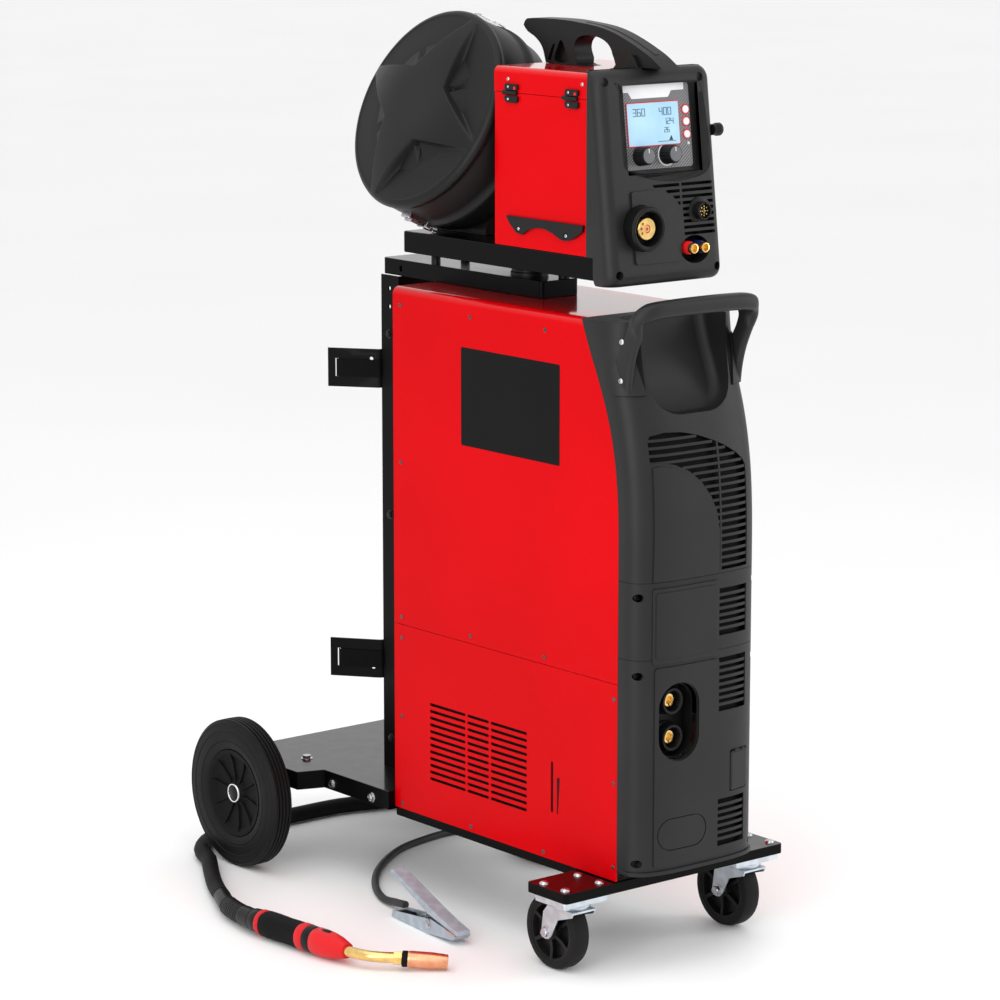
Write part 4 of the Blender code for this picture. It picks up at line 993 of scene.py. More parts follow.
# The upper vent's arch, its pad and the vent columns, as X and Z on the front
ARCH = [(-0.0955, 0.808), (-0.0955, 0.8235), (-0.091, 0.8295), (-0.066, 0.8330), (-0.035, 0.8310),
        (-0.005, 0.8245), (0.025, 0.8140), (0.050, 0.8030), (0.072, 0.7900), (0.085, 0.7800),
        (0.0915, 0.7715), (0.0930, 0.762)]
PAD_ARCH = [(-0.0930, 0.7830), (-0.080, 0.7845), (-0.055, 0.7790), (-0.030, 0.7680),
            (-0.008, 0.7500), (0.010, 0.7270), (0.021, 0.7040), (0.0270, 0.6800), (0.0270, 0.660)]
# Lower edge of the vent, above the raised field
VENT_EDGE = [(-0.0955, 0.7885), (-0.080, 0.7900), (-0.052, 0.7840), (-0.026, 0.7725),
             (-0.003, 0.7540), (0.0155, 0.7300), (0.0265, 0.7060), (0.0310, 0.6800)]
VENT_LEFT, VENT_RIGHT = 0.0320, 0.0920


def arch_top(x, line):
    """Height of an arch's outline over x."""
    for (x0, z0), (x1, z1) in zip(line, line[1:]):
        if x0 <= x <= x1 and x1 > x0:
            return z0 + (z1 - z0) * (x - x0) / (x1 - x0)
    return line[0][1] if x < line[0][0] else line[-1][1]


def widest(height, line, left, right):
    """Where a row of that height meets the arch, going right."""
    for x in np.linspace(right, left, 160):
        if arch_top(x, line) > height + 0.002:
            return x
    return left


def hand_pocket():
    """Room for a hand behind the handle, with a rounded floor."""
    sizes = ((0.8560, 0.030, -0.016), (0.8585, 0.044, -0.012), (0.864, 0.056, -0.006),
             (0.872, 0.067, 0.001), (0.884, 0.0755, 0.010), (0.900, 0.0805, 0.020),
             (0.925, 0.083, 0.033), (0.950, 0.0845, 0.045), (0.980, 0.086, 0.056),
             (1.020, 0.087, 0.064))
    rings = []
    for height, half, back in sizes:
        corner = min(0.016, half * 0.4)
        rear = arc((half - corner, back - corner), corner, 0, 90, 5)
        plan = [(half, -0.1), *rear, *[(-x, y) for x, y in reversed(rear)], (-half, -0.1)]
        rings.append([(x, y, height) for x, y in plan])
    return loft(rings)


def make_upper_moulding():
    """Top third of the front: hand pocket, arched vent and vent column beside a raised field."""
    vent = [(VENT_LEFT - 0.001, SEAM_UPPER + 0.005), (VENT_RIGHT, SEAM_UPPER + 0.005),
            *reversed(ARCH)]
    vent += VENT_EDGE
    moulding("front_moulding_upper", 0.6103, CABINET_TOP, "front_upper",
             [hand_pocket(), prism(vent, -0.2, 0.004, FRONT)], 0.845)
    rows = [SEAM_UPPER + 0.0125 + VENT_PITCH * i for i in range(20)]

    def start(height):
        if height < 0.680:
            return VENT_LEFT - 0.001
        spots = [x for x in np.linspace(-0.0955, VENT_LEFT, 120)
                 if arch_top(x, VENT_EDGE) <= height]
        return min(spots) if spots else VENT_LEFT

    def end(height):
        return widest(height, ARCH, -0.0955, VENT_RIGHT)

    bars = slats(rows, start, end, 0.0010, 0.0044)
    section = ((0.0330, 0), (0.0362, 0), (0.0362, 0.006), (0.0330, 0.006))
    heights = np.linspace(SEAM_UPPER + 0.005, 0.812, 14)
    post = [[(x, front_y(0.0345, z) + 0.0006 + d, z) for x, d in section] for z in heights]
    posts = [loft(pair) for pair in zip(post, post[1:])]
    piece("upper_vent_slats", together(*bars, *posts), GREY, "chassis", smooth=30)
    # A dark sheet behind the upper vent: painted shade for the space inside the moulding.
    shade_sheet = front_solid(SEAM_UPPER + 0.005, 0.840, -0.0095)
    piece("upper_vent_painted_shade", shade_sheet, DARK, "chassis")
    field = [(-0.0965, SEAM_UPPER + 0.0012), (0.0290, SEAM_UPPER + 0.0012), (0.0290, 0.6800),
             *reversed(PAD_ARCH[:-1])]
    add_pad("upper_raised_field", field, SEAM_UPPER, 0.790, 0.0028, 0.0018)


def vent_column(low, high, cutters, bars):
    """Adds one field of the vent column to the lists: its opening, and the slats in it."""
    cutters.append(block((VENT_LEFT, -0.2, low), (VENT_RIGHT, 0.002, high)))
    count = round((high - low) / VENT_PITCH)
    rows = [low + (high - low) * (i + 1) / count for i in range(count - 1)]
    bars += slats(rows, VENT_LEFT - 0.001, VENT_RIGHT + 0.001, 0.0010, 0.0048)


def screw_hole(x, height):
    """Cutter for a countersunk hole in the front."""
    return rod(SCREW_HOLE_RADIUS, 0.05, -0.10, (x, -0.01, height), (0, 1, 0), 24)


def make_front_screws(holes):
    """Dark screw heads at the bottom of the front's holes."""
    heads = [screw_head((x, front_y(x, z) + 0.0065, z), (0, -1, 0), 0.0046, 0.0022) for x,
             z in holes]
    piece("front_screws", together(*heads), DARK, "chassis")


def make_middle_moulding():
    """Middle module, with a framed field that hooks over the seam below."""
    cutters, bars = [], []
    vent_column(0.5135, 0.5865, cutters, bars)
    holes = [(x, 0.588) for x in (-0.1140, 0.1140)]
    cutters += [screw_hole(x, z) for x, z in holes]
    moulding("front_moulding_middle", 0.4923, 0.6097, "front_middle", cutters)
    piece("middle_vent_slats", together(*bars), GREY, "chassis", smooth=30)
    field = rounded((-0.0965, 0.4850), (0.0290, 0.6010), 0.004)
    add_pad("middle_raised_field", field, 0.485, 0.601, 0.0024, 0.0012)
    inner = rounded((-0.0920, 0.4935), (0.0255, 0.5945), 0.004)
    add_pad("middle_inner_field", inner, 0.4935, 0.5945, 0.0036, 0.0012)
    return holes


def make_lower_moulding():
    """Lower module: socket recess, cover door, blank cover and two vents."""
    cutters, bars = [], []
    vent_column(0.3950, 0.4790, cutters, bars)
    vent_column(0.1830, 0.2570, cutters, bars)
    holes = [(x, z) for z in (0.468, 0.177) for x in (-0.1140, 0.1140)]
    cutters += [screw_hole(x, z) for x, z in holes]
    recess = rounded((-0.0845, 0.3330), (-0.0105, 0.4520), 0.0365, 12)
    cutters.append(prism(recess, -0.2, -0.020, FRONT))
    door = block((-0.0200, -0.02, -0.0325), (0.0200, 0.0025, 0.0325))
    cutters.append(moved(door, at_cover_door()))
    moulding("front_moulding_lower", FRONT_FOOT, 0.4917, "front_lower", cutters)
    piece("lower_vent_slats", together(*bars), GREY, "chassis", smooth=30)
    field = rounded((-0.0925, 0.1690), (0.0310, 0.4790), 0.005)
    round_recess = rounded((-0.0860, 0.3315), (-0.0090, 0.4535), 0.038, 12)
    round_cover = rounded((-0.0870, 0.1935), (0.0075, 0.2440), 0.0250, 12)
    add_pad("lower_raised_field", field, 0.169, 0.479, 0.0022, 0.0012,
            minus=[prism(hole, -0.2, 0.1, FRONT) for hole in (round_recess, round_cover)])
    cover = rounded((-0.0855, 0.1950), (0.0060, 0.2425), 0.0235, 12)
    add_pad("blank_cover", cover, 0.195, 0.2425, 0.0020, 0.0006)
    edge = [(-0.125, FRONT_FOOT + 0.0002), (0.125, FRONT_FOOT + 0.0002), (0.125, 0.1640),
            (-0.125, 0.1640)]
    ridge = new_object("front_foot_ridge", prism(edge, -0.12, -0.0012, FRONT))
    boolean(ridge, [front_solid(FRONT_FOOT, 0.172, 0.0032)], "INTERSECT")
    boolean(ridge, [front_solid(0.14, 0.18, -0.0016)], "DIFFERENCE")
    dressed(ridge, GREY, "chassis", 0.0012)
    return holes


def make_painted_vent_shades():
    """Dark sheets behind the vents of the lower two modules: painted shade for the space behind
    them.
    """
    for name, low, high in (("middle", 0.500, 0.600), ("lower_top", 0.385, 0.486),
                            ("lower_foot", 0.170, 0.262)):
        obj = new_object(f"{name}_vent_painted_shade", front_solid(low, high, -0.0095))
        boolean(obj, [block((0.026, -0.2, low - 0.01), (0.110, 0.2, high + 0.01))], "INTERSECT")
        dressed(obj, DARK, "chassis")


def at_cover_door():
    """Place of the small door in the lower moulding."""
    return Matrix.Translation((0.078, -0.0492, 0.298)) @ Matrix.Rotation(math.radians(11), 4, "Z")


def make_cover_door():
    """Small blank door with a raised rim, and its two hinge tabs at the top."""
    leaf = prism(rounded((-0.0190, -0.0315), (0.0190, 0.0300), 0.0045), -0.0013, 0.0013, FRONT)
    rim = prism(rounded((-0.0165, -0.0290), (0.0165, 0.0270), 0.0035), -0.0019, 0.0, FRONT)
    piece("cover_door", moved(leaf, at_cover_door()), GREY, "socket_cover",
          ["socket_cover"], 0.0006)
    piece("cover_door_field", moved(rim, at_cover_door()), GREY, "socket_cover",
          bevel=0.0006)
    tabs = [prism(rounded((x - 0.0038, 0.0285), (x + 0.0038, 0.0325), 0.001), -0.0036, 0.0010,
                  FRONT) for x in (-0.0085, 0.0085)]
    pin = rod(0.0011, -0.0150, 0.0150, (0, -0.0012, 0.0305), (1, 0, 0), 12)
    piece("cover_door_hinge", moved(together(*tabs, pin), at_cover_door()), BLACK, "chassis",
          bevel=0.0004)


WELD_SOCKET_X = -0.0475
WELD_SOCKET_HEIGHTS = (0.421, 0.364)


def make_weld_sockets():
    """Two bayonet sockets in a black cup."""
    rim = rounded((-0.0841, 0.3334), (-0.0109, 0.4516), 0.0360, 12)
    cup = rounded((-0.0816, 0.3359), (-0.0134, 0.4491), 0.0336, 12)
    piece("socket_cup", prism(rim, -0.0430, -0.0165, FRONT), BLACK, "chassis",
          ["weld_sockets"], 0.0007, minus=[prism(cup, -0.1, -0.0195, FRONT)])
    for i, z in enumerate(WELD_SOCKET_HEIGHTS):
        collar = [(0.0, -0.018), (0.0240, -0.018), (0.0238, -0.022), (0.0212, -0.024),
                  (0.0208, -0.0385), (0.0198, -0.0400), (0.0168, -0.0401), (0.0158, -0.0392),
                  (0.0150, -0.0230), (0.0, -0.0230)]
        turned = lathe([(r, -h) for r, h in collar], (WELD_SOCKET_X, 0, z), (0, -1, 0), 48)
        piece(f"weld_socket_collar_{i + 1}", turned, BLACK, "chassis")
        face = [(0.0, -0.0225), (0.0104, -0.0225), (0.0104, -0.0295), (0.0096, -0.0302),
                (0.0066, -0.0302), (0.0064, -0.0245), (0.0, -0.0245)]
        brass = lathe([(r, -h) for r, h in face], (WELD_SOCKET_X, 0, z), (0, -1, 0), 48)
        key = block((-0.0492, -0.0312, z - 0.0100), (-0.0458, -0.0235, z - 0.0050))
        piece(f"weld_socket_insert_{i + 1}", brass, BRASS, "chassis", minus=[key])


# The handle's centre line, from inside the moulding's corner to the middle of the bar
HANDLE_PATH = [(0.1090, 0.0150, 0.8930), (0.1100, 0.0120, 0.9200), (0.1110, 0.0045, 0.9500),
               (0.1115, -0.0085, 0.9800), (0.1095, -0.0240, 1.0030), (0.1030, -0.0345, 1.0130),
               (0.0900, -0.0385, 1.0170), (0.0640, -0.0400, 1.0185), (0.0260, -0.0405, 1.0192)]
# Rear edge of the lugs as Y and Z, from their foot up to the bar
LUG_EDGE = [(0.0120, 0.8890), (0.0190, 0.8940), (0.0235, 0.9050), (0.0240, 0.9180),
            (0.0200, 0.9300), (0.0110, 0.9460), (0.0020, 0.9620), (-0.0060, 0.9760),
            (-0.0110, 0.9880), (-0.0150, 0.9990)]


def powered(value, power):
    """A power that keeps the sign, for the outlines of superellipses."""
    return math.copysign(abs(value) ** power, value)


def handle_bar():
    """Hood-like bar with ends that sweep back and widen into the moulding's corners."""
    right = [Vector(p) for p in HANDLE_PATH]
    left = [Vector((-p.x, p.y, p.z)) for p in right]
    route = smooth_route([*left, *reversed(right)], 0.004)
    rows = []
    for i, spot in enumerate(route):
        along = heading(route, i)
        top = smoothed((spot.z - 0.985) / 0.030)
        outward = Vector((spot.x / 0.11, 0, 0)) * (1 - top) + Vector((0, 0, 1)) * top
        outward = (outward - along * outward.dot(along)).normalized()
        front = along.cross(outward).normalized()
        front = -front if front.y > 0 else front
        half_out = 0.0085 + 0.0045 * top
        half_front = 0.0240 - 0.0098 * top
        row = []
        for k in range(28):
            angle = math.tau * k / 28
            u = powered(math.cos(angle), 0.72) * half_out
            v = powered(math.sin(angle), 0.72) * half_front
            row.append(spot + outward * u + front * v)
        rows.append(row)
    return loft(rows)


def lug_shell(name, outline, inner_x, outside, inside):
    """Both lugs of an outline seen from the side, kept between two offsets of the front surface."""
    sides = [prism(outline, *sorted((sign * inner_x, sign * 0.14)), SIDE) for _,
             sign in both_sides()]
    obj = new_object(name, together(*sides))
    boolean(obj, [front_solid(0.86, 0.999, outside, back=0.03)], "INTERSECT")
    return boolean(obj, [front_solid(0.85, 1.010, inside, back=0.06)], "DIFFERENCE")


def make_handle():
    """Handle in one piece with two lugs that wrap the corners of the upper moulding."""
    lugs = [(-0.080, 0.8890), *LUG_EDGE, (-0.080, 0.9990)]
    obj = lug_shell("front_handle", lugs, 0.0850, 0.0032, -0.0018)
    boolean(obj, [handle_bar()], "UNION")
    behind = [(-0.080, 0.8890), *LUG_EDGE, (0.0, 1.0600), (0.150, 1.0600), (0.150, 0.8500),
              (-0.080, 0.8500)]
    boolean(obj, [hand_pocket_inside(), prism(behind, -0.2, 0.2, SIDE)], "DIFFERENCE")
    dressed(obj, GREY, "chassis", 0.0014, ["handle_bar"], 40)
    # A thin dark rim just outside each lug: a painted shadow line where the lug meets the moulding.
    shade_outline = [(-0.080, 0.8879), (0.0123, 0.8879), *[(y + 0.0022, z) for y, z in LUG_EDGE[1:-2]],
             (-0.0070, 0.9890), (-0.080, 0.9890)]
    dressed(lug_shell("handle_lug_painted_shade", shade_outline, 0.0858, 0.0006, -0.0012), DARK, "chassis")
    heads = []
    for _, sign in both_sides():
        heads.append(screw_head((sign * 0.1205, -0.0010, 0.9700), (sign, -0.15, 0.1), 0.0046,
                                0.0022))
        heads.append(screw_head((sign * 0.1182, 0.0035, 0.9110), (sign, -0.15, 0.0), 0.0046,
                                0.0022))
    piece("handle_screws", together(*heads), SCREW, "chassis")


def hand_pocket_inside():
    """Clear space between the lugs, below the bar."""
    right = [(0.0835, 0.8750), (0.0900, 0.9050), (0.0965, 0.9350), (0.0985, 0.9600),
             (0.0965, 0.9850), (0.0880, 0.9980), (0.0700, 1.0030)]
    return prism([*right, *[(-x, z) for x, z in reversed(right)]], -0.2, 0.2, FRONT)


def make_front():
    make_upper_moulding()
    holes = make_middle_moulding() + make_lower_moulding()
    make_front_screws(holes)
    make_painted_vent_shades()
    make_cover_door()
    make_weld_sockets()
    make_handle()
# --- Wire feeder --------------------------------------------------------------------------------

FEEDER_HALF = 0.110
FEEDER_BOX_BASE = 1.086
FEEDER_BOX_TOP = 1.359
FEEDER_BOX_REAR = 0.312
DOOR_TOP = 1.320
BEZEL_HALF = 0.114
BEZEL_LOW, BEZEL_HIGH = 1.044, 1.363
BEZEL_REAR = 0.0895
BEZEL_LEAN = math.atan2(0.033, 0.282)
LEAN_NORMAL = Vector((0, -math.cos(BEZEL_LEAN), math.sin(BEZEL_LEAN)))
KNOB_HEIGHT = 1.234
BUTTON_HEIGHTS = (1.299, 1.281, 1.262)
TORCH_SOCKET = (-0.049, 0.0, 1.130)
COUPLING_HEIGHT = 1.094
DOOR_PULL_SCREWS = ((0.137, 1.1140), (0.249, 1.1150))


def bezel_front(height):
    """Y of the leaning front at a height."""
    return 0.032 + (height - 1.064) * math.tan(BEZEL_LEAN)


def on_panel(x, height, out):
    """A point of the control panel, out metres in front of it."""
    return Vector((x, bezel_front(height) + 0.010, height)) + LEAN_NORMAL * out


def leaning(outline, low, high):
    """A flat outline (x, height) on the leaning panel as a solid between two distances from it."""
    rows = [[on_panel(x, z, out) for x, z in outline] for out in (low, high)]
    return loft(rows)


def bezel_ring(height, inset=0.0, rear=None):
    """Plan outline of the feeder's front at a height, with round edges at sides, top and foot."""
    fall = 0.020
    from_end = min(height - BEZEL_LOW, BEZEL_HIGH - height)
    end = 1 - math.sqrt(max(0.0, 1 - (1 - min(1.0, from_end / fall)) ** 2))
    front = bezel_front(height) + fall * 0.75 * end + inset
    half = BEZEL_HALF - inset - 0.007 * end
    corner = 0.019
    left = arc((-half + corner, front + corner), corner, 180, 270, 7)
    right = arc((half - corner, front + corner), corner, 270, 360, 7)
    back = rear or (0.0735 if height < FEEDER_BOX_BASE + 0.0005 else BEZEL_REAR)
    return [(x, y, height) for x, y in [(-half, back), *left, *right, (half, back)]]


def bezel_solid(inset=0.0, rear=None):
    """The front moulding's outside as a solid."""
    ends = [BEZEL_LOW + inset + 0.020 * (1 - math.cos(a)) for a in np.linspace(0, math.pi / 2, 8)]
    tops = [BEZEL_HIGH - inset - 0.020 * (1 - math.cos(a)) for a in np.linspace(math.pi / 2, 0, 8)]
    middle = list(np.linspace(ends[-1], tops[0], 16))[1:-1]
    heights = [*ends, *[z for z in middle if abs(z - FEEDER_BOX_BASE) > 0.004], *tops]
    heights = sorted([*heights, FEEDER_BOX_BASE + 0.0004, FEEDER_BOX_BASE + 0.0006])
    return loft([bezel_ring(z, inset, rear) for z in heights])


# Outline of the shaded recess round the control panel, as X and Z
VISOR = [(-0.0700, 1.3425), (0.0760, 1.3425), (0.0860, 1.3380), (0.0920, 1.3250), (0.0985, 1.2700),
         (0.1010, 1.2300), (0.0985, 1.2140), (0.0900, 1.2040), (0.0700, 1.1970), (0.0350, 1.1930),
         (0.0000, 1.1950), (-0.0320, 1.2010), (-0.0560, 1.2080), (-0.0690, 1.2160),
         (-0.0740, 1.2280), (-0.0740, 1.3350)]
# Raised arch round the torch socket: rounded foot corners, a quarter ellipse at its top right
FEEDER_PAD = [*arc((-0.0600, 1.0815), 0.005, 180, 270, 6),
              *arc((0.0210, 1.0815), 0.005, 270, 360, 6),
              *[(-0.0270 + 0.0530 * math.cos(a), 1.1357 + 0.0488 * math.sin(a))
                for a in np.linspace(0, math.pi / 2, 16)],
              *arc((-0.0600, 1.1795), 0.005, 90, 180, 6)]
VENT_LEFT_ENDS = (-0.0170, 0.0085, 0.0225, 0.0300)


def visor_cutter():
    """Recess that widens towards the front."""
    middle_x = sum(x for x, _ in VISOR) / len(VISOR)
    middle_z = sum(z for _, z in VISOR) / len(VISOR)
    rows = []
    for out, grow in ((-0.0001, 0.90), (0.004, 0.93), (0.0100, 0.985), (0.020, 1.03)):
        outline = [(middle_x + (x - middle_x) * grow, middle_z + (z - middle_z) * grow) for x,
                   z in VISOR]
        rows.append([on_panel(x, z, out) for x, z in smooth_loop(outline)])
    return loft(rows)


def smooth_loop(outline):
    """A closed outline with two points added per side on a smooth curve through it."""
    spots = [Vector(p) for p in outline]
    n = len(spots)
    made = []
    for i in range(n):
        a, b, c, d = (spots[(i + k - 1) % n] for k in range(4))
        m1, m2 = (c - a) * 0.5, (d - b) * 0.5
        for step in range(3):
            t = step / 3
            made.append(tuple((2 * t ** 3 - 3 * t ** 2 + 1) * b + (t ** 3 - 2 * t ** 2 + t) * m1
                              + (3 * t ** 2 - 2 * t ** 3) * c + (t ** 3 - t ** 2) * m2))
    return made


def feeder_vent_rows():
    """Height, left and right end of each opening of the feeder's vent."""
    lefts = [*VENT_LEFT_ENDS, *[0.0365] * 5]
    return [(1.1893 - 0.0092 * i, left, 0.0985) for i, left in enumerate(lefts)]


def loop_radius(outline, middle, angle):
    """How far an outline is from a point inside it, in the direction of an angle."""
    way = Vector((math.cos(angle), math.sin(angle)))
    best = 0.0
    for a, b in zip(outline, [*outline[1:], outline[0]]):
        a, b = Vector(a) - middle, Vector(b) - middle
        edge = b - a
        cross = way.x * edge.y - way.y * edge.x
        if abs(cross) < 1e-9:
            continue
        far = (a.x * edge.y - a.y * edge.x) / cross
        share = (a.x * way.y - a.y * way.x) / cross
        if far > 0 and -1e-6 <= share <= 1 + 1e-6:
            best = max(best, far)
    return best


def make_visor_bowl():
    """Dark glossy bowl between the control panel and the edge of its recess."""
    middle = Vector((0.008, 1.272))
    inner = rounded((-0.0665, 1.2135), (0.0725, 1.3405), 0.006)
    outer = smooth_loop(VISOR)
    rows = []
    section = ((0.0, 0.0002), (0.35, 0.0008), (0.65, 0.0028), (0.85, 0.0060), (0.965, 0.0102),
               (0.955, 0.0104), (0.80, 0.0050), (0.5, 0.0010), (0.0, -0.0012))
    for share, out in section:
        ring = []
        for i in range(120):
            angle = math.tau * i / 120
            near, far = loop_radius(inner, middle, angle), loop_radius(outer, middle, angle)
            reach = near + (max(far, near + 0.001) - near) * share
            ring.append(on_panel(middle.x + reach * math.cos(angle),
                                 middle.y + reach * math.sin(angle), out))
        rows.append(ring)
    piece("visor_bowl", skin(rows, close_rows=True, close_columns=True), BLACK, "feeder",
          smooth=50)


def make_bezel():
    """Leaning front moulding: visor recess, raised arch round the torch socket, vent, screws."""
    cutters = [visor_cutter(), block((-0.066, 0.0, 1.208), (0.082, 0.2, 1.340))]
    cutters.append(rod(0.0345, -0.01, 0.10, TORCH_SOCKET, (0, 1, 0), 56))
    # The oval hole of the coolant couplings
    turns = np.linspace(0, math.tau, 64, False)
    plan = [(0.0555 + 0.0285 * math.cos(a), 1.0915 + 0.0210 * math.sin(a)) for a in turns]
    cutters.append(prism(plan, -0.01, 0.12, FRONT))
    vents = []
    for z, left, right in feeder_vent_rows():
        if left < 0.0330:
            vents.append(prism([(left, z - 0.0024), (0.0330, z - 0.0024), (0.0330, z + 0.0024),
                                (left - 0.004, z + 0.0024)], -0.01, 0.056, FRONT))
        vents.append(block((0.0368, -0.01, z - 0.0024), (right, 0.056, z + 0.0024)))
    cutters.append(together(*vents))
    wells = [(-0.0990, 1.3470), (0.0880, 1.3470), (-0.0960, 1.0630), (0.0990, 1.0630)]
    for x, z in wells:
        cutters.append(rod(0.0066, 0.0, 0.10, (x, -0.03, z), (0, 1, 0), 28))
    obj = new_object("feeder_front", bezel_solid())
    boolean(obj, [bezel_room()], "DIFFERENCE")
    boolean(obj, cutters, "DIFFERENCE")
    dressed(obj, GREY, "feeder", 0.0009, ["feeder_bezel"])
    heads = [screw_head((x, bezel_front(z) + 0.0105, z), (0, -1, 0), 0.0050, 0.0022) for x,
             z in wells]
    piece("feeder_front_screws", together(*heads), BLACK, "feeder")
    # A dark sheet behind the front's openings, with holes for the visor, socket and couplings:
    # painted shade for the hollow inside.
    shade_backing = prism([(bezel_front(z) + d, z) for z,
                   d in ((1.050, 0.0120), (1.350, 0.0120), (1.350, 0.0140), (1.050, 0.0140))],
                  -0.105, 0.105, SIDE)
    piece("feeder_front_painted_shade", shade_backing, DARK, "feeder", minus=[
        block((-0.067, 0.0, 1.190), (0.083, 0.2, 1.345)),
        rod(0.036, -0.01, 0.10, TORCH_SOCKET, (0, 1, 0), 32),
        rod(0.029, -0.01, 0.10, (0.0545, 0.0, COUPLING_HEIGHT), (0, 1, 0), 32)])
    pad = new_object("feeder_raised_arch", prism(FEEDER_PAD, -0.01, 0.08, FRONT))
    boolean(pad, [bezel_solid(-0.0028)], "INTERSECT")
    boolean(pad, [bezel_solid(0.0015, 0.12)], "DIFFERENCE")
    boolean(pad, [rod(0.0345, -0.01, 0.10, TORCH_SOCKET, (0, 1, 0), 56)], "DIFFERENCE")
    dressed(pad, GREY, "feeder", 0.0013)


def bezel_room():
    """The hollow of the bezel, open at the back."""
    return prism([(bezel_front(z) + 0.0065, z) for z in (1.092, 1.350)]
                 + [(0.12, 1.350), (0.12, 1.092)], 0.012 - BEZEL_HALF, BEZEL_HALF - 0.012, SIDE)


SEGMENTS = {"0": "abcdef", "1": "bc", "2": "abged", "4": "fgbc", "6": "afgedc", "8": "abcdefg",
            "3": "abgcd"}


def digit(value, x, z, size):
    """Seven segment digit on the display."""
    wide, tall, line = size * 0.55, size, size * 0.11
    bars = {"a": (0, tall, wide, tall), "g": (0, tall / 2, wide, tall / 2), "d": (0, 0, wide, 0),
            "f": (0, tall / 2, 0, tall), "b": (wide, tall / 2, wide, tall),
            "e": (0, 0, 0, tall / 2), "c": (wide, 0, wide, tall / 2)}
    made = []
    for name in SEGMENTS[value]:
        x0, z0, x1, z1 = bars[name]
        low = (x + x0 - line * 0.4, z + z0 - line * 0.4)
        high = (x + x1 + line * 0.4, z + z1 + line * 0.4)
        made.append(leaning([low, (high[0], low[1]), high, (low[0], high[1])], 0.0016, 0.0020))
    return made


def make_control_panel():
    """Twill panel with a blank header, display, push buttons and knobs."""
    face = rounded((-0.0655, 1.2140), (0.0720, 1.3395), 0.006)
    holes = [together(*[rod(0.0063, -0.006, 0.008, on_panel(0.063, z, 0), LEAN_NORMAL, 28)
                        for z in BUTTON_HEIGHTS])]
    piece("control_panel_sheet", leaning(face, -0.0028, 0.0002), CARBON, "feeder",
          ["control_panel"], 0.0004, minus=holes)
    strip = [(-0.0655, 1.3395), (-0.0655, 1.3290), (-0.0480, 1.3285), (-0.0420, 1.3190),
             (0.0300, 1.3190), (0.0370, 1.3285), (0.0620, 1.3285), (0.0620, 1.3395)]
    piece("panel_header", leaning(strip, 0.0, 0.0008), WHITE_PLASTIC, "feeder",
          bevel=0.0002)
    rim = rounded((-0.0545, 1.2475), (0.0495, 1.3135), 0.002)
    piece("display_rim", leaning(rim, 0.0, 0.0011), RED_PLASTIC, "feeder",
          bevel=0.0002)
    glass = rounded((-0.0530, 1.2490), (0.0480, 1.3120), 0.0015)
    piece("display_glass", leaning(glass, 0.0005, 0.0016), DISPLAY, "feeder",
          bevel=0.0002)
    marks = []
    for text, x, z, size in (("360", -0.042, 1.2930, 0.0105), ("400", 0.010, 1.2930, 0.0105),
                             ("124", 0.018, 1.2790, 0.0085), ("26", 0.018, 1.2670, 0.0070)):
        for i, value in enumerate(text):
            marks += digit(value, x + i * size * 0.82, z, size)
    marks.append(leaning([(0.004, 1.2535), (0.040, 1.2535), (0.040, 1.2542), (0.004, 1.2542)],
                         0.0016, 0.0020))
    marks.append(leaning([(0.026, 1.2548), (0.034, 1.2548), (0.031, 1.2620)], 0.0016, 0.0020))
    piece("display_digits", together(*marks), DIGIT, "feeder")
    for i, z in enumerate(BUTTON_HEIGHTS):
        spot = on_panel(0.063, z, 0)
        ring = lathe([(0.0062, 0.0), (0.0080, 0.0), (0.0078, 0.0010), (0.0064, 0.0010)], spot,
                     LEAN_NORMAL, 40)
        piece(f"button_ring_{i + 1}", ring, RED_PLASTIC, "feeder")
        cap = [(0.0, -0.0030), (0.0058, -0.0030), (0.0058, 0.0018), (0.0050, 0.0026), (0.0, 0.0022)]
        piece(f"button_cap_{i + 1}", lathe(cap, spot, LEAN_NORMAL, 36), WHITE_PLASTIC,
              f"panel_button_{i + 1}", [f"panel_button_{i + 1}"])
    lamp = [(0.0, -0.001), (0.0022, -0.001), (0.0022, 0.0008), (0.0012, 0.0018), (0.0, 0.0021)]
    piece("status_lamp", lathe(lamp, on_panel(0.0655, 1.2485, 0), LEAN_NORMAL, 20), WHITE_PLASTIC,
          "feeder")
    for name, x in (("knob_left", -0.033), ("knob_right", 0.020)):
        make_knob(name, on_panel(x, KNOB_HEIGHT, GAP))
    scale = lathe([(0.0152, 0.0), (0.0172, 0.0), (0.0170, 0.0008), (0.0154, 0.0008)],
                  on_panel(0.020, KNOB_HEIGHT, 0), LEAN_NORMAL, 56)
    piece("knob_scale_ring", scale, WHITE_PLASTIC, "feeder")


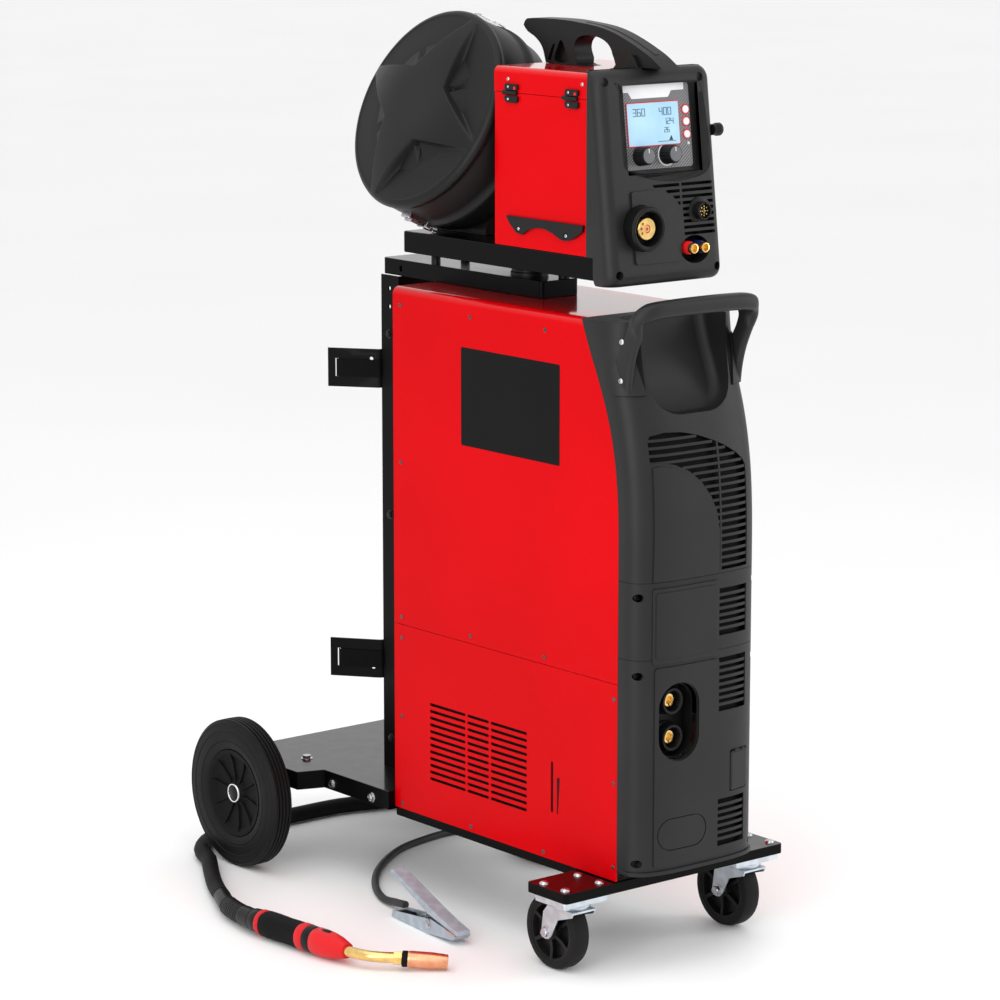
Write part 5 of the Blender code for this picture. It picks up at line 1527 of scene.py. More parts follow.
def make_knob(name, spot):
    """Knob with a fluted skirt, a flat cap and a pointer line, on the body of its own name."""
    steps = 48
    axis, side, other = axis_frame(LEAN_NORMAL)
    section = ((0.0, 0.0142, 0.0), (0.0012, 0.0145, 0.0), (0.0020, 0.0142, 0.0006),
               (0.0200, 0.0134, 0.0006), (0.0212, 0.0126, 0.0002), (0.0214, 0.0112, 0.0))
    rows = []
    for height, radius, flute in section:
        ring = []
        for i in range(steps * 2):
            a = math.tau * i / (steps * 2)
            r = radius - (flute if i % 4 in (1, 2) else 0.0)
            ring.append(Vector(spot) + axis * height
                        + (side * math.cos(a) + other * math.sin(a)) * r)
        rows.append(ring)
    piece(f"{name}_skirt", loft(rows), BLACK, name, [name])
    cap = [(0.0, 0.020), (0.0114, 0.020), (0.0112, 0.0217), (0.0, 0.0220)]
    piece(f"{name}_cap", lathe(cap, spot, axis, 48), KNOB_GREY, name)
    up = Vector((0, math.sin(BEZEL_LEAN), math.cos(BEZEL_LEAN)))
    across = up.cross(axis)
    corners = ((-0.0006, 0.004), (0.0006, 0.004), (0.0006, 0.0105), (-0.0006, 0.0105))
    line = [[spot + axis * h + across * x + up * z for x, z in corners] for h in (0.0212, 0.0221)]
    piece(f"{name}_pointer", loft(line), WHITE_PLASTIC, name)


def make_sockets():
    """Torch socket with its ribbed collar, remote socket and coolant couplings."""
    centre = (TORCH_SOCKET[0], 0.046, TORCH_SOCKET[2])
    ribs = []
    for i in range(6):
        h = 0.0036 * i
        ribs += [(0.0335, h), (0.0335, h + 0.0022), (0.0324, h + 0.0025), (0.0324, h + 0.0035)]
    shell = [(0.0, -0.006), (0.0330, -0.006), *ribs, (0.0335, 0.0240), (0.0322, 0.0268),
             (0.0290, 0.0272), (0.0262, 0.0255), (0.0240, 0.0060), (0.0, 0.0060)]
    piece("torch_socket_collar", lathe(shell, centre, (0, -1, 0), 72), BLACK, "feeder",
          ["euro_socket"])
    face = [(0.0, 0.005), (0.0172, 0.005), (0.0172, 0.0188), (0.0160, 0.0202), (0.0064, 0.0202),
            (0.0062, 0.0150), (0.0, 0.0150)]
    holes = [rod(0.0021, 0.014, 0.04, (centre[0] + x, centre[1], centre[2] + z), (0, -1, 0), 16)
             for x, z in ((-0.0085, 0.0078), (-0.0112, 0.0010), (-0.0092, -0.0062))]
    piece("torch_socket_face", lathe(face, centre, (0, -1, 0), 64), BRASS, "feeder",
          minus=[together(*holes)])
    core = [(0.0, 0.0145), (0.0060, 0.0145), (0.0060, 0.0192), (0.0050, 0.0200), (0.0026, 0.0200),
            (0.0024, 0.0170), (0.0, 0.0170)]
    piece("torch_socket_core", lathe(core, centre, (0, -1, 0), 40), COPPER, "feeder")
    remote = (0.0705, bezel_front(1.148) + 0.0010, 1.148)
    boss = [(0.0, -0.004), (0.0215, -0.004), (0.0215, 0.0006), (0.0205, 0.0014), (0.0138, 0.0018),
            (0.0136, 0.0120), (0.0128, 0.0132), (0.0108, 0.0132), (0.0106, 0.0060), (0.0, 0.0060)]
    key = block((0.069, 0.0, 1.158), (0.072, 0.034, 1.166))
    piece("remote_socket", lathe(boss, remote, (0, -1, 0), 56), BLACK, "feeder",
          minus=[key])
    pins = []
    for ring_radius, count in ((0.0070, 8), (0.0030, 4), (0.0, 1)):
        for i in range(count):
            a = math.tau * i / count
            spot = (remote[0] + ring_radius * math.cos(a), remote[1],
                    remote[2] + ring_radius * math.sin(a))
            pins.append(lathe([(0.0, 0.005), (0.0009, 0.005), (0.0009, 0.0105), (0.0, 0.0108)],
                              spot, (0, -1, 0), 10))
    piece("remote_socket_pins", together(*pins), BRASS, "feeder")
    plate = rod(0.0255, -0.0585, -0.0620, (0.0545, 0, COUPLING_HEIGHT), (0, -1, 0), 48)
    piece("coupling_plate", plate, DARK, "feeder", ["coolant_couplings"])
    for name, x, colour in (("red", 0.0435, RED_PLASTIC), ("blue", 0.0660, BLUE_PLASTIC)):
        sleeve = [(0.0, -0.060), (0.0105, -0.060), (0.0105, -0.048), (0.0100, -0.0465),
                  (0.0100, -0.0340), (0.0092, -0.0322), (0.0070, -0.0320), (0.0, -0.0320)]
        piece(f"coupling_sleeve_{name}", lathe(sleeve, (x, 0, COUPLING_HEIGHT), (0, -1, 0), 36),
              colour, "feeder")
        nose = [(0.0, -0.042), (0.0064, -0.042), (0.0064, -0.0300), (0.0080, -0.0292),
                (0.0082, -0.0245), (0.0074, -0.0225), (0.0056, -0.0223), (0.0054, -0.0310),
                (0.0, -0.0310)]
        piece(f"coupling_nose_{name}", lathe(nose, (x, 0, COUPLING_HEIGHT), (0, -1, 0), 36), BRASS,
              "feeder")


def make_feeder_case():
    """Red sheets of the feeder with the hinged side door and its trim."""
    radius = 0.010
    corner = FEEDER_HALF - radius
    bend = arc((corner, FEEDER_BOX_TOP - radius), radius, 90, 0, 8)
    right = [(corner * t, FEEDER_BOX_TOP) for t in (0.0, 0.5)] + bend
    path = [(-x, z) for x, z in reversed(right)][:-1] + right
    path = [(-FEEDER_HALF, DOOR_TOP + GAP), *path, (FEEDER_HALF, FEEDER_BOX_BASE)]
    rows = [[(x, y, z) for x, z in path] for y in (0.090, 0.160, 0.240, FEEDER_BOX_REAR)]
    cover = thickened(new_object("feeder_cover_sheet", skin(rows)), SHEET)
    dressed(cover, RED_PAINT, "feeder", 0.0004, ["feeder_cover"])
    back = prism(rounded((-FEEDER_HALF + 0.0018, FEEDER_BOX_BASE),
                         (FEEDER_HALF - 0.0018, FEEDER_BOX_TOP - 0.0018), 0.008),
                 FEEDER_BOX_REAR - 0.0018, FEEDER_BOX_REAR - 0.0002, FRONT)
    entry = rod(0.012, -0.02, 0.02, (0, FEEDER_BOX_REAR, 1.200), (0, 1, 0), 32)
    piece("feeder_back_sheet", back, RED_PAINT, "feeder", minus=[entry], bevel=0.0003)
    grommet = lathe([(0.0085, -0.004), (0.0118, -0.004), (0.0118, -0.0004), (0.0150, 0.0),
                     (0.0150, 0.0024), (0.0085, 0.0030)], (0, FEEDER_BOX_REAR - 0.0002, 1.200),
                    (0, 1, 0), 40)
    piece("wire_entry_grommet", grommet, BLACK, "feeder")
    door = prism(rounded((0.090, FEEDER_BOX_BASE + GAP), (FEEDER_BOX_REAR - 0.0019, DOOR_TOP - GAP),
                         0.0015), -FEEDER_HALF, -FEEDER_HALF + SHEET, SIDE)
    piece("feeder_door_sheet", door, RED_PAINT, "feeder_door", ["feeder_door"], 0.0004)
    pull = [(0.278, 1.1330), (0.096, 1.1330), (0.0975, 1.1240), (0.112, 1.1150), (0.126, 1.1085),
            (0.137, 1.1065), (0.148, 1.1075), (0.167, 1.1155), (0.187, 1.1205), (0.208, 1.1200),
            (0.226, 1.1150), (0.239, 1.1070), (0.252, 1.1085), (0.268, 1.1205)]
    wing = prism(pull, -FEEDER_HALF - 0.0050, -FEEDER_HALF - 0.0001, SIDE)
    piece("door_pull_wing", wing, BLACK, "feeder_door", bevel=0.0012,
          minus=[together(*[rod(0.0042, 0.0, 0.01, (-FEEDER_HALF - 0.0030, y, z), (-1, 0, 0), 20)
                            for y, z in DOOR_PULL_SCREWS])])
    heads = [screw_head((-FEEDER_HALF - 0.0030, y, z), (-1, 0, 0), 0.0034) for y,
             z in DOOR_PULL_SCREWS]
    piece("door_pull_screws", together(*heads), SCREW, "feeder_door")
    for i, middle in enumerate((0.129, 0.271)):
        make_door_hinge(i + 1, middle)
    knob = lathe([(0.0, -0.002), (0.0085, -0.002), (0.0085, 0.004), (0.0100, 0.006),
                  (0.0100, 0.013), (0.0085, 0.0150), (0.0, 0.0155)],
                 (BEZEL_HALF - 0.001, 0.0620, 1.266), (1, 0, 0), 32)
    piece("side_gas_knob", knob, BLACK, "feeder", bevel=0.0005)
    spots = [(-1, 0.278, 1.3400), (-1, 0.104, 1.3420),
             *[(1, y, z) for y in (0.104, 0.290) for z in (1.105, 1.335)]]
    screws = [screw_head((sign * FEEDER_HALF, y, z), (sign, 0, 0), 0.0032) for sign, y, z in spots]
    piece("feeder_case_screws", together(*screws), SCREW, "feeder")


def make_door_hinge(number, middle):
    """Black hinge of the door: a leaf above the seam, one below, and a barrel that points back."""
    x = -FEEDER_HALF
    upper = prism(rounded((middle - 0.0190, DOOR_TOP + 0.0040),
                          (middle + 0.0120, DOOR_TOP + 0.0135), 0.003), x - 0.0040, x - 0.0001,
                  SIDE)
    lower_outline = [(middle - 0.0190, DOOR_TOP - 0.0047), (middle - 0.0190, DOOR_TOP - 0.0120),
                     (middle - 0.0160, DOOR_TOP - 0.0150), (middle + 0.0080, DOOR_TOP - 0.0150),
                     (middle + 0.0120, DOOR_TOP - 0.0110), (middle + 0.0120, DOOR_TOP - 0.0047)]
    lower = prism(lower_outline, x - 0.0042, x - 0.0001, SIDE)
    piece(f"door_hinge_{number}_fixed", upper, BLACK, "feeder", bevel=0.0009)
    piece(f"door_hinge_{number}_leaf", lower, BLACK, "feeder_door", bevel=0.0009)
    barrel = lathe([(0.0, -0.016), (0.0034, -0.016), (0.0038, -0.014), (0.0038, 0.014),
                    (0.0028, 0.020), (0.0, 0.022)], (x - 0.0006, middle, DOOR_TOP), (0, 1, 0), 24)
    piece(f"door_hinge_{number}_barrel", barrel, BLACK, "feeder_door")
    dot = lathe([(0.0, 0.0), (0.0026, 0.0), (0.0024, 0.0005), (0.0, 0.0007)],
                (x - 0.0040, middle - 0.0125, DOOR_TOP + 0.0075), (-1, 0, 0), 24)
    piece(f"door_hinge_{number}_dot", dot, RED_PLASTIC, "feeder")
    screws = [screw_head((x - 0.0040, middle + 0.0030, DOOR_TOP + s), (-1, 0, 0), 0.0022, 0.0010)
              for s in (0.0088, -0.0098)]
    piece(f"door_hinge_{number}_screw_top", screws[0], SCREW, "feeder")
    piece(f"door_hinge_{number}_screw_low", screws[1], SCREW, "feeder_door")


# Height of the carrying handle's top edge and underside along Y, and its half width
HANDLE_TOP = ((0.030, 1.3640), (0.046, 1.3740), (0.062, 1.3830), (0.085, 1.3930), (0.108, 1.4020),
              (0.140, 1.4125), (0.175, 1.4200), (0.220, 1.4245), (0.265, 1.4270), (0.335, 1.4262),
              (0.349, 1.4230), (0.354, 1.4150))


def make_feeder_handle():
    """Carrying handle: broad foot behind the front moulding, bowed grip over a hole, rear stem."""
    base = FEEDER_BOX_TOP + GAP
    top = smooth_route([(y, z) for y, z in HANDLE_TOP], 0.006)
    rear = smooth_route([(0.354, 1.4150), (0.345, 1.4060), (0.325, 1.3970), (0.309, 1.3830),
                         (0.300, base)], 0.006)[1:]
    outline = [tuple(p)[:2] for p in top] + [tuple(p)[:2]
                                             for p in rear] + [(0.091, base), (0.0905, 1.3640)]
    body = new_object("carrying_handle", prism(outline, -0.0178, 0.0178, SIDE))
    opening = smooth_loop([(0.1420, 1.3600), (0.1435, 1.3800), (0.1520, 1.3935), (0.1680, 1.4020),
                           (0.1900, 1.4060), (0.2130, 1.4050), (0.2280, 1.3980), (0.2330, 1.3850),
                           (0.2270, 1.3700), (0.2200, 1.3600)])
    boolean(body, [prism(opening, -0.05, 0.05, SIDE)], "DIFFERENCE")
    pockets = []
    for sign in (-1, 1):
        web = smooth_loop([(0.2480, 1.3640), (0.2560, 1.3860), (0.2640, 1.3960), (0.2720, 1.3860),
                           (0.2790, 1.3640)])
        pockets.append(prism(web, *sorted((sign * 0.0080, sign * 0.03)), SIDE))
        rib = [(0.2880, 1.3640), (0.2780, 1.3900), (0.2840, 1.3880), (0.2960, 1.3640)]
        pockets.append(prism(rib, *sorted((sign * 0.0120, sign * 0.03)), SIDE))
    boolean(body, [together(*pockets)], "DIFFERENCE")
    dressed(body, BLACK, "feeder", 0.0042, ["feeder_handle"], 40)
    strip = smooth_route([(y, z + 0.0004) for y, z in HANDLE_TOP[2:8]], 0.006)
    ridge = [[(x, p.x, p.y + z) for x, z in ((-0.0050, -0.002), (-0.0042, 0.0005), (0.0042, 0.0005),
                                             (0.0050, -0.002))] for p in strip]
    piece("handle_top_rib", loft(ridge), BLACK, "feeder", bevel=0.0004)
    buttress = []
    for sign in (-1, 1):
        outline = smooth_loop([(0.0800, base + 0.0005), (0.0850, 1.3740), (0.0930, 1.3820),
                               (0.1000, 1.3800), (0.1060, 1.3700), (0.1130, base + 0.0005)])
        buttress.append(prism(outline, *sorted((sign * 0.0150, sign * 0.0240)), SIDE))
    piece("handle_buttress", together(*buttress), BLACK, "feeder", bevel=0.0022)


def make_feeder():
    make_bezel()
    make_visor_bowl()
    make_control_panel()
    make_sockets()
    make_feeder_case()
    make_feeder_handle()
# --- Wire spool drum ----------------------------------------------------------------------------

DRUM_RADIUS = 0.166
DRUM_FACE = Vector((-0.112, 0.483, 1.284))
DRUM_TILT = math.radians(24)
DRUM_AXIS = Vector((-math.cos(DRUM_TILT), 0, math.sin(DRUM_TILT)))
DRUM_UP = Vector((math.sin(DRUM_TILT), 0, math.cos(DRUM_TILT)))
DRUM_DOME = 0.026
DRUM_SEAM = 0.080
DRUM_DEPTH = 0.130


def drum_at(out, angle, radius):
    """A point so far out from the rim's plane; the angle runs from the top towards the front."""
    aside = Vector((0, -radius * math.sin(angle), 0))
    return DRUM_FACE + DRUM_AXIS * out + DRUM_UP * (radius * math.cos(angle)) + aside


def star_height(angle, radius):
    """Height of the cover: a raised star with four arms, and four flat pockets between them."""
    arm = abs((math.degrees(angle) - 20 + 45) % 90 - 45)
    fall = max(0.0, (radius - 0.040) / (DRUM_RADIUS - 0.010 - 0.040))
    star = DRUM_DOME * (1 - 0.92 * fall ** 2.2)
    corner = 0.066
    half = math.radians(45 - arm)
    along = radius * math.cos(half)
    aside = radius * math.sin(half)
    spread = (along - corner) * 2.2
    inside = min((spread - aside) / 2.42, DRUM_RADIUS - 0.0105 - radius)
    floor = 0.0045 - 0.0030 * smoothed((radius - 0.1) / 0.06)
    wall = smoothed((inside + 0.0010) / 0.0050)
    return star + (min(floor, star) - star) * wall


def make_drum_cover():
    """Front shell of the drum with its star and the stepped side wall."""
    steps = 480
    radii = [0.004, 0.012, 0.022, 0.032, 0.042, 0.050, 0.056] + list(np.linspace(0.060, 0.1545, 80))
    rows = []
    angles = [math.tau * i / steps for i in range(steps)]
    for radius in radii:
        rows.append([drum_at(star_height(a, radius), a, radius) for a in angles])
    edge = [(0.1575, 0.0010), (0.1605, -0.0005), (0.1626, -0.0035), (0.1645, -0.0075),
            (0.1640, -0.0120), (0.1615, -0.0150), (0.1612, -0.0190), (0.1625, -0.0230),
            (0.1640, -0.0600), (0.1645, -0.0730), (0.1672, -0.0745), (0.1675, -0.0797),
            (0.1625, -0.0797), (0.1605, -0.0200), (0.1570, -0.0060), (0.1500, -0.0035)]
    for radius, out in edge:
        rows.append([drum_at(out, a, radius) for a in angles])
    inner = [(0.1200, 0.0), (0.0700, DRUM_DOME * 0.55), (0.0450, DRUM_DOME - 0.0040),
             (0.004, DRUM_DOME - 0.0040)]
    for radius, out in inner:
        rows.append([drum_at(min(out, star_height(a, radius) - 0.0030), a, radius) for a in angles])
    piece("drum_cover_star", loft(rows), DRUM_BLACK, "drum_cover",
          ["drum_cover"], smooth=60)


def make_drum_base():
    """Rear shell with a stepped lip, the foot on the tray, and the spool's hub."""
    start = -DRUM_SEAM - GAP
    back = -DRUM_DEPTH
    profile = [(0.0, start - 0.0465), (0.1490, start - 0.0465), (0.1590, start), (0.1675, start),
               (0.1672, start - 0.0050), (0.1640, start - 0.0065), (0.1625, start - 0.0180),
               (0.1600, start - 0.0380), (0.1550, back + 0.0010), (0.1500, back), (0.0, back)]
    shell = lathe(profile, DRUM_FACE, DRUM_AXIS, 128)
    hub = lathe([(0.0, back + 0.001), (0.0245, back + 0.001), (0.0245, -0.040), (0.0225, -0.034),
                 (0.0, -0.034)], DRUM_FACE, DRUM_AXIS, 48)
    top = DRUM_FACE - DRUM_AXIS * (DRUM_DEPTH - 0.002) + DRUM_UP * -0.070
    heel = DRUM_FACE - DRUM_AXIS * (DRUM_DEPTH - 0.002) + DRUM_UP * -0.150
    floor = FEEDER_BOX_BASE + GAP
    foot = prism([(heel.x, floor), (0.030, floor), (top.x, top.z), (heel.x, heel.z)], 0.400, 0.530,
                 FRONT)
    piece("drum_base_shell", shell, DRUM_BLACK, "feeder", ["drum_base"], 0.0006,
          plus=[hub, foot])
    inlet = lathe([(0.008, -0.004), (0.017, -0.004), (0.017, 0.008), (0.013, 0.010), (0.012, 0.026),
                   (0.008, 0.028)], DRUM_FACE - DRUM_AXIS * 0.110 + Vector((0, -0.1600, 0)),
                  (0, -1, 0), 32)
    piece("drum_wire_outlet", inlet, BLACK, "feeder", bevel=0.0005)


def make_drum_latches():
    """Over-centre latches: lever and seat on the cover's side, wire loop and hook on the base."""
    for name, sign in (("top", 1), ("bottom", -1)):
        across = Vector((0, 1, 0))
        up = DRUM_UP * sign

        def at(out, side, lift):
            return DRUM_FACE + DRUM_AXIS * out + across * side + up * (DRUM_RADIUS + lift)

        def plate(out0, out1, half, low, high):
            rows = [[at(out0, -half, h), at(out0, half, h), at(out1, half, h), at(out1, -half, h)]
                    for h in (low, high)]
            return loft(rows)

        lever = together(plate(-0.0735, -0.0400, 0.0095, 0.0040, 0.0054),
                         plate(-0.0440, -0.0395, 0.0085, 0.0045, 0.0075),
                         plate(-0.0720, -0.0440, 0.0030, 0.0054, 0.0062),
                         rod(0.0016, -0.0125, 0.0125, at(-0.0740, 0, 0.0048), across, 14))
        piece(f"latch_lever_{name}", lever, SCREW, f"drum_latch_{name}",
              [f"drum_latch_{name}"], 0.0005)
        loop_path = [at(-0.0780, -0.0075, 0.0046), at(-0.0800, -0.0075, 0.0060),
                     at(-0.0950, -0.0070, 0.0052), at(-0.0985, 0.0, 0.0046),
                     at(-0.0950, 0.0070, 0.0052), at(-0.0800, 0.0075, 0.0060),
                     at(-0.0780, 0.0075, 0.0046)]
        loop = tube(smooth_route(loop_path, 0.003), 0.0014, 10)
        piece(f"latch_loop_{name}", loop, SCREW, "feeder")
        hook = together(plate(-0.1060, -0.0900, 0.0100, -0.0030, 0.0012),
                        plate(-0.0995, -0.0965, 0.0060, 0.0010, 0.0072))
        piece(f"latch_hook_{name}", hook, SCREW, "feeder", bevel=0.0005)
        ears = [moved(plate(-0.0762, -0.0690, 0.0012, -0.0030, 0.0066),
                      Matrix.Translation(across * side)) for side in (-0.0112, 0.0112)]
        seat = together(plate(-0.0700, -0.0330, 0.0115, -0.0050, 0.0034), *ears)
        piece(f"latch_seat_{name}", seat, SCREW, "drum_cover", bevel=0.0006)
        rivets = [lathe([(0.0, 0.0), (0.0020, 0.0), (0.0016, 0.0010), (0.0, 0.0013)],
                        at(-0.0355, s, 0.0034), up, 14) for s in (-0.006, 0.006)]
        piece(f"latch_rivets_{name}", together(*rivets), SCREW, "drum_cover")


def make_spool():
    """Wire spool with wound wire, inside the drum."""
    middle = DRUM_FACE - DRUM_AXIS * 0.068
    flange = [(0.1480, 0.0460), (0.1480, 0.0425), (0.0760, 0.0425), (0.0760, -0.0425),
              (0.1480, -0.0425), (0.1480, -0.0460), (0.0255, -0.0460), (0.0255, 0.0460)]
    windows = []
    for i in range(6):
        a = math.tau * (i + 0.5) / 6
        spot = middle + (DRUM_UP * math.cos(a) + Vector((0, 1, 0)) * math.sin(a)) * 0.051
        windows.append(rod(0.0135, -0.06, 0.06, spot, DRUM_AXIS, 24))
    piece("spool_reel", lathe(flange, middle, DRUM_AXIS, 96), BLACK, "spool",
          ["wire_spool"], 0.0008, minus=[together(*windows)])
    layers = []
    for i in range(40):
        h = -0.0415 + 0.083 * i / 40
        layers += [(0.1330, h), (0.1344, h + 0.0010)]
    wound = lathe([(0.0765, -0.0415), *layers, (0.1330, 0.0415), (0.0765, 0.0415)], middle,
                  DRUM_AXIS, 128)
    piece("wound_wire", wound, COIL_WIRE, "spool", smooth=60)


def make_drum():
    make_drum_cover()
    make_drum_base()
    make_drum_latches()
    make_spool()
# --- Cart ---------------------------------------------------------------------------------------

BEAM_TOP = 1.024
REAR_AXLE = Vector((0, 0.837, 0.125))
WHEEL_HALF_TRACK = 0.2315
CASTER_HALF_TRACK = 0.176
CASTER_SWIVEL_Y = 0.043
CASTER_WHEEL = (0.076, 0.060)
PLATE_TOP = 0.141
SHELF_TOP = 0.169


def make_rear_wheels():
    """Tyre with side rings and tread grooves, a dished ribbed disc, and the axle cap."""
    for side, sign in both_sides():
        centre = Vector((sign * WHEEL_HALF_TRACK, REAR_AXLE.y, REAR_AXLE.z))
        half = 0.0200
        tread = []
        for i in range(5):
            h = -0.0130 + 0.0065 * i
            tread += [(0.1236 + 0.0012 * math.cos(h / 0.016), h - 0.0020),
                      (0.1236 + 0.0012 * math.cos(h / 0.016), h + 0.0020), (0.1214, h + 0.0024),
                      (0.1214, h + 0.0041)]
        tread = tread[:-2]
        wall = [(0.1215, half - 0.0030), (0.1190, half - 0.0012), (0.1170, half - 0.0020),
                (0.1155, half - 0.0012), (0.1060, half - 0.0002), (0.1045, half - 0.0012),
                (0.1030, half - 0.0004), (0.0900, half - 0.0006), (0.0885, half - 0.0018),
                (0.0870, half - 0.0010), (0.0780, half - 0.0022), (0.0745, half - 0.0045),
                (0.0735, half - 0.0080)]
        profile = [(r, -h) for r, h in reversed(wall)] + tread + wall
        piece(f"wheel_tyre_{side}", lathe(profile, centre, (sign, 0, 0), 128), TYRE,
              f"rear_wheel_{side}", [f"rear_tyre_{side}"], smooth=32)
        disc = [(0.0, 0.0120), (0.0160, 0.0120), (0.0175, 0.0100), (0.0240, 0.0060),
                (0.0580, 0.0085), (0.0640, 0.0130), (0.0680, 0.0160), (0.0732, 0.0165),
                (0.0732, -0.0165), (0.0660, -0.0160), (0.0600, -0.0100), (0.0250, -0.0020),
                (0.0180, -0.0130), (0.0, -0.0130)]
        ribs = []
        for i in range(10):
            a = math.tau * (i + 0.25) / 10
            out = Vector((0, math.cos(a), math.sin(a)))
            across = Vector((0, -math.sin(a), math.cos(a)))
            rows = []
            for r, low, high in ((0.0150, 0.0060, 0.0112), (0.0300, 0.0050, 0.0098),
                                 (0.0500, 0.0060, 0.0112), (0.0660, 0.0080, 0.0152)):
                ring = [centre + Vector((sign * h, 0, 0)) + out * r + across * s for s, h in
                        ((-0.0016, low), (0.0016, low), (0.0011, high), (-0.0011, high))]
                rows.append(ring)
            ribs.append(loft(rows))
        dish = new_object(f"wheel_disc_{side}", lathe(disc, centre, (sign, 0, 0), 96))
        boolean(dish, [together(*ribs)], "UNION")
        dressed(dish, DARK, f"rear_wheel_{side}", 0.0005, [f"rear_rim_{side}"])
        ring = [(0.0128, 0.0115), (0.0165, 0.0115), (0.0165, 0.0150), (0.0155, 0.0165),
                (0.0138, 0.0165), (0.0128, 0.0150)]
        piece(f"wheel_hub_ring_{side}", lathe(ring, centre, (sign, 0, 0), 48), CHROME,
              f"rear_wheel_{side}")
        end = centre + Vector((sign * 0.0130, 0, 0))
        cap = [(0.0, -0.002), (0.0118, -0.002), (0.0118, 0.0020), (0.0100, 0.0040),
               (0.0060, 0.0052), (0.0, 0.0055)]
        piece(f"axle_cap_{side}", lathe(cap, end, (sign, 0, 0), 40), DRUM_BLACK, "chassis")


def make_casters():
    """Swivel casters: top plate and bolts, ball race, folded fork, spoked wheel with its tread."""
    for side, sign in both_sides():
        x = sign * CASTER_HALF_TRACK
        fork_body, roller_body = f"caster_swivel_{side}", f"caster_roller_{side}"
        legs = []
        for leg in (-1, 1):
            outline = [(CASTER_SWIVEL_Y - 0.030, 0.1035), (CASTER_SWIVEL_Y + 0.030, 0.1035),
                       (CASTER_SWIVEL_Y + 0.0400, 0.0920), (CASTER_WHEEL[0] + 0.0110, 0.0640),
                       (CASTER_WHEEL[0] + 0.0105, 0.0560), (CASTER_WHEEL[0] + 0.0040, 0.0495),
                       (CASTER_WHEEL[0] - 0.0050, 0.0500), (CASTER_WHEEL[0] - 0.0120, 0.0560),
                       (CASTER_SWIVEL_Y + 0.0060, 0.0850), (CASTER_SWIVEL_Y - 0.0270, 0.0960)]
            x0, x1 = sorted((x + leg * 0.0232, x + leg * 0.0205))
            legs.append(prism(outline, x0, x1, SIDE))
        legs.append(block((x - 0.0232, CASTER_SWIVEL_Y - 0.030, 0.1010),
                          (x + 0.0232, CASTER_SWIVEL_Y + 0.030, 0.1042)))
        race = lathe([(0.0, 0.1040), (0.0270, 0.1040), (0.0290, 0.1060), (0.0300, 0.1100),
                      (0.0285, 0.1130), (0.0, 0.1130)], (x, CASTER_SWIVEL_Y, 0), (0, 0, 1), 56)
        piece(f"caster_fork_body_{side}", legs[2], ZINC, fork_body, [f"caster_fork_{side}"],
              0.0008, plus=[legs[0], legs[1]])
        piece(f"caster_race_{side}", race, ZINC, fork_body, bevel=0.0005)
        top = prism(rounded((x - 0.0440, CASTER_SWIVEL_Y - 0.0360),
                            (x + 0.0440, CASTER_SWIVEL_Y + 0.0360), 0.004),
                    PLATE_TOP - 0.0165 - 0.0100, PLATE_TOP - 0.0165, PLAN)
        piece(f"caster_top_plate_{side}", top, ZINC, "chassis", bevel=0.0006)
        axle = together(hex_bolt((x + 0.0232, *CASTER_WHEEL), (1, 0, 0), 0.0075, 0.0050),
                        hex_bolt((x - 0.0232, *CASTER_WHEEL), (-1, 0, 0), 0.0075, 0.0050))
        piece(f"caster_axle_bolt_{side}", axle, SCREW, fork_body)
        centre = (x, *CASTER_WHEEL)
        tread = [(0.0460, -0.0150), (0.0530, -0.0160), (0.0580, -0.0135), (0.0600, -0.0080),
                 (0.0600, 0.0080), (0.0580, 0.0135), (0.0530, 0.0160), (0.0460, 0.0150)]
        piece(f"caster_tread_{side}", lathe(tread, centre, (1, 0, 0), 96), TYRE, roller_body,
              [f"caster_wheel_{side}"], smooth=40)
        web = [(0.0, -0.0165), (0.0120, -0.0165), (0.0135, -0.0150), (0.0150, -0.0040),
               (0.0400, -0.0040), (0.0430, -0.0140), (0.0462, -0.0145), (0.0462, 0.0145),
               (0.0430, 0.0140), (0.0400, 0.0040), (0.0150, 0.0040), (0.0135, 0.0150),
               (0.0120, 0.0165), (0.0, 0.0165)]
        spokes = []
        for i in range(6):
            a = math.tau * (i + 0.5) / 6
            out = Vector((0, math.cos(a), math.sin(a)))
            across = Vector((0, -math.sin(a), math.cos(a)))
            rows = [[Vector(centre) + out * r + across * s * 0.0030 + Vector((t * w, 0, 0)) for s,
                     t in ((-1, -1), (1, -1), (1, 1), (-1, 1))] for r,
                    w in ((0.0120, 0.0140), (0.0280, 0.0120), (0.0440, 0.0135))]
            spokes.append(loft(rows))
        wheel = new_object(f"caster_spokes_{side}", lathe(web, centre, (1, 0, 0), 72))
        boolean(wheel, [together(*spokes)], "UNION")
        dressed(wheel, BLACK, roller_body, 0.0006)
        bolts = []
        for dx in (-0.034, 0.034):
            for y in (0.018, 0.068):
                dome = [(0.0, 0.0), (0.0075, 0.0), (0.0072, 0.0018), (0.0055, 0.0036),
                        (0.0030, 0.0046), (0.0, 0.0048)]
                bolts.append(lathe(dome, (x + dx, y, PLATE_TOP), (0, 0, 1), 28))
        piece(f"caster_plate_bolts_{side}", together(*bolts), SCREW, "chassis")


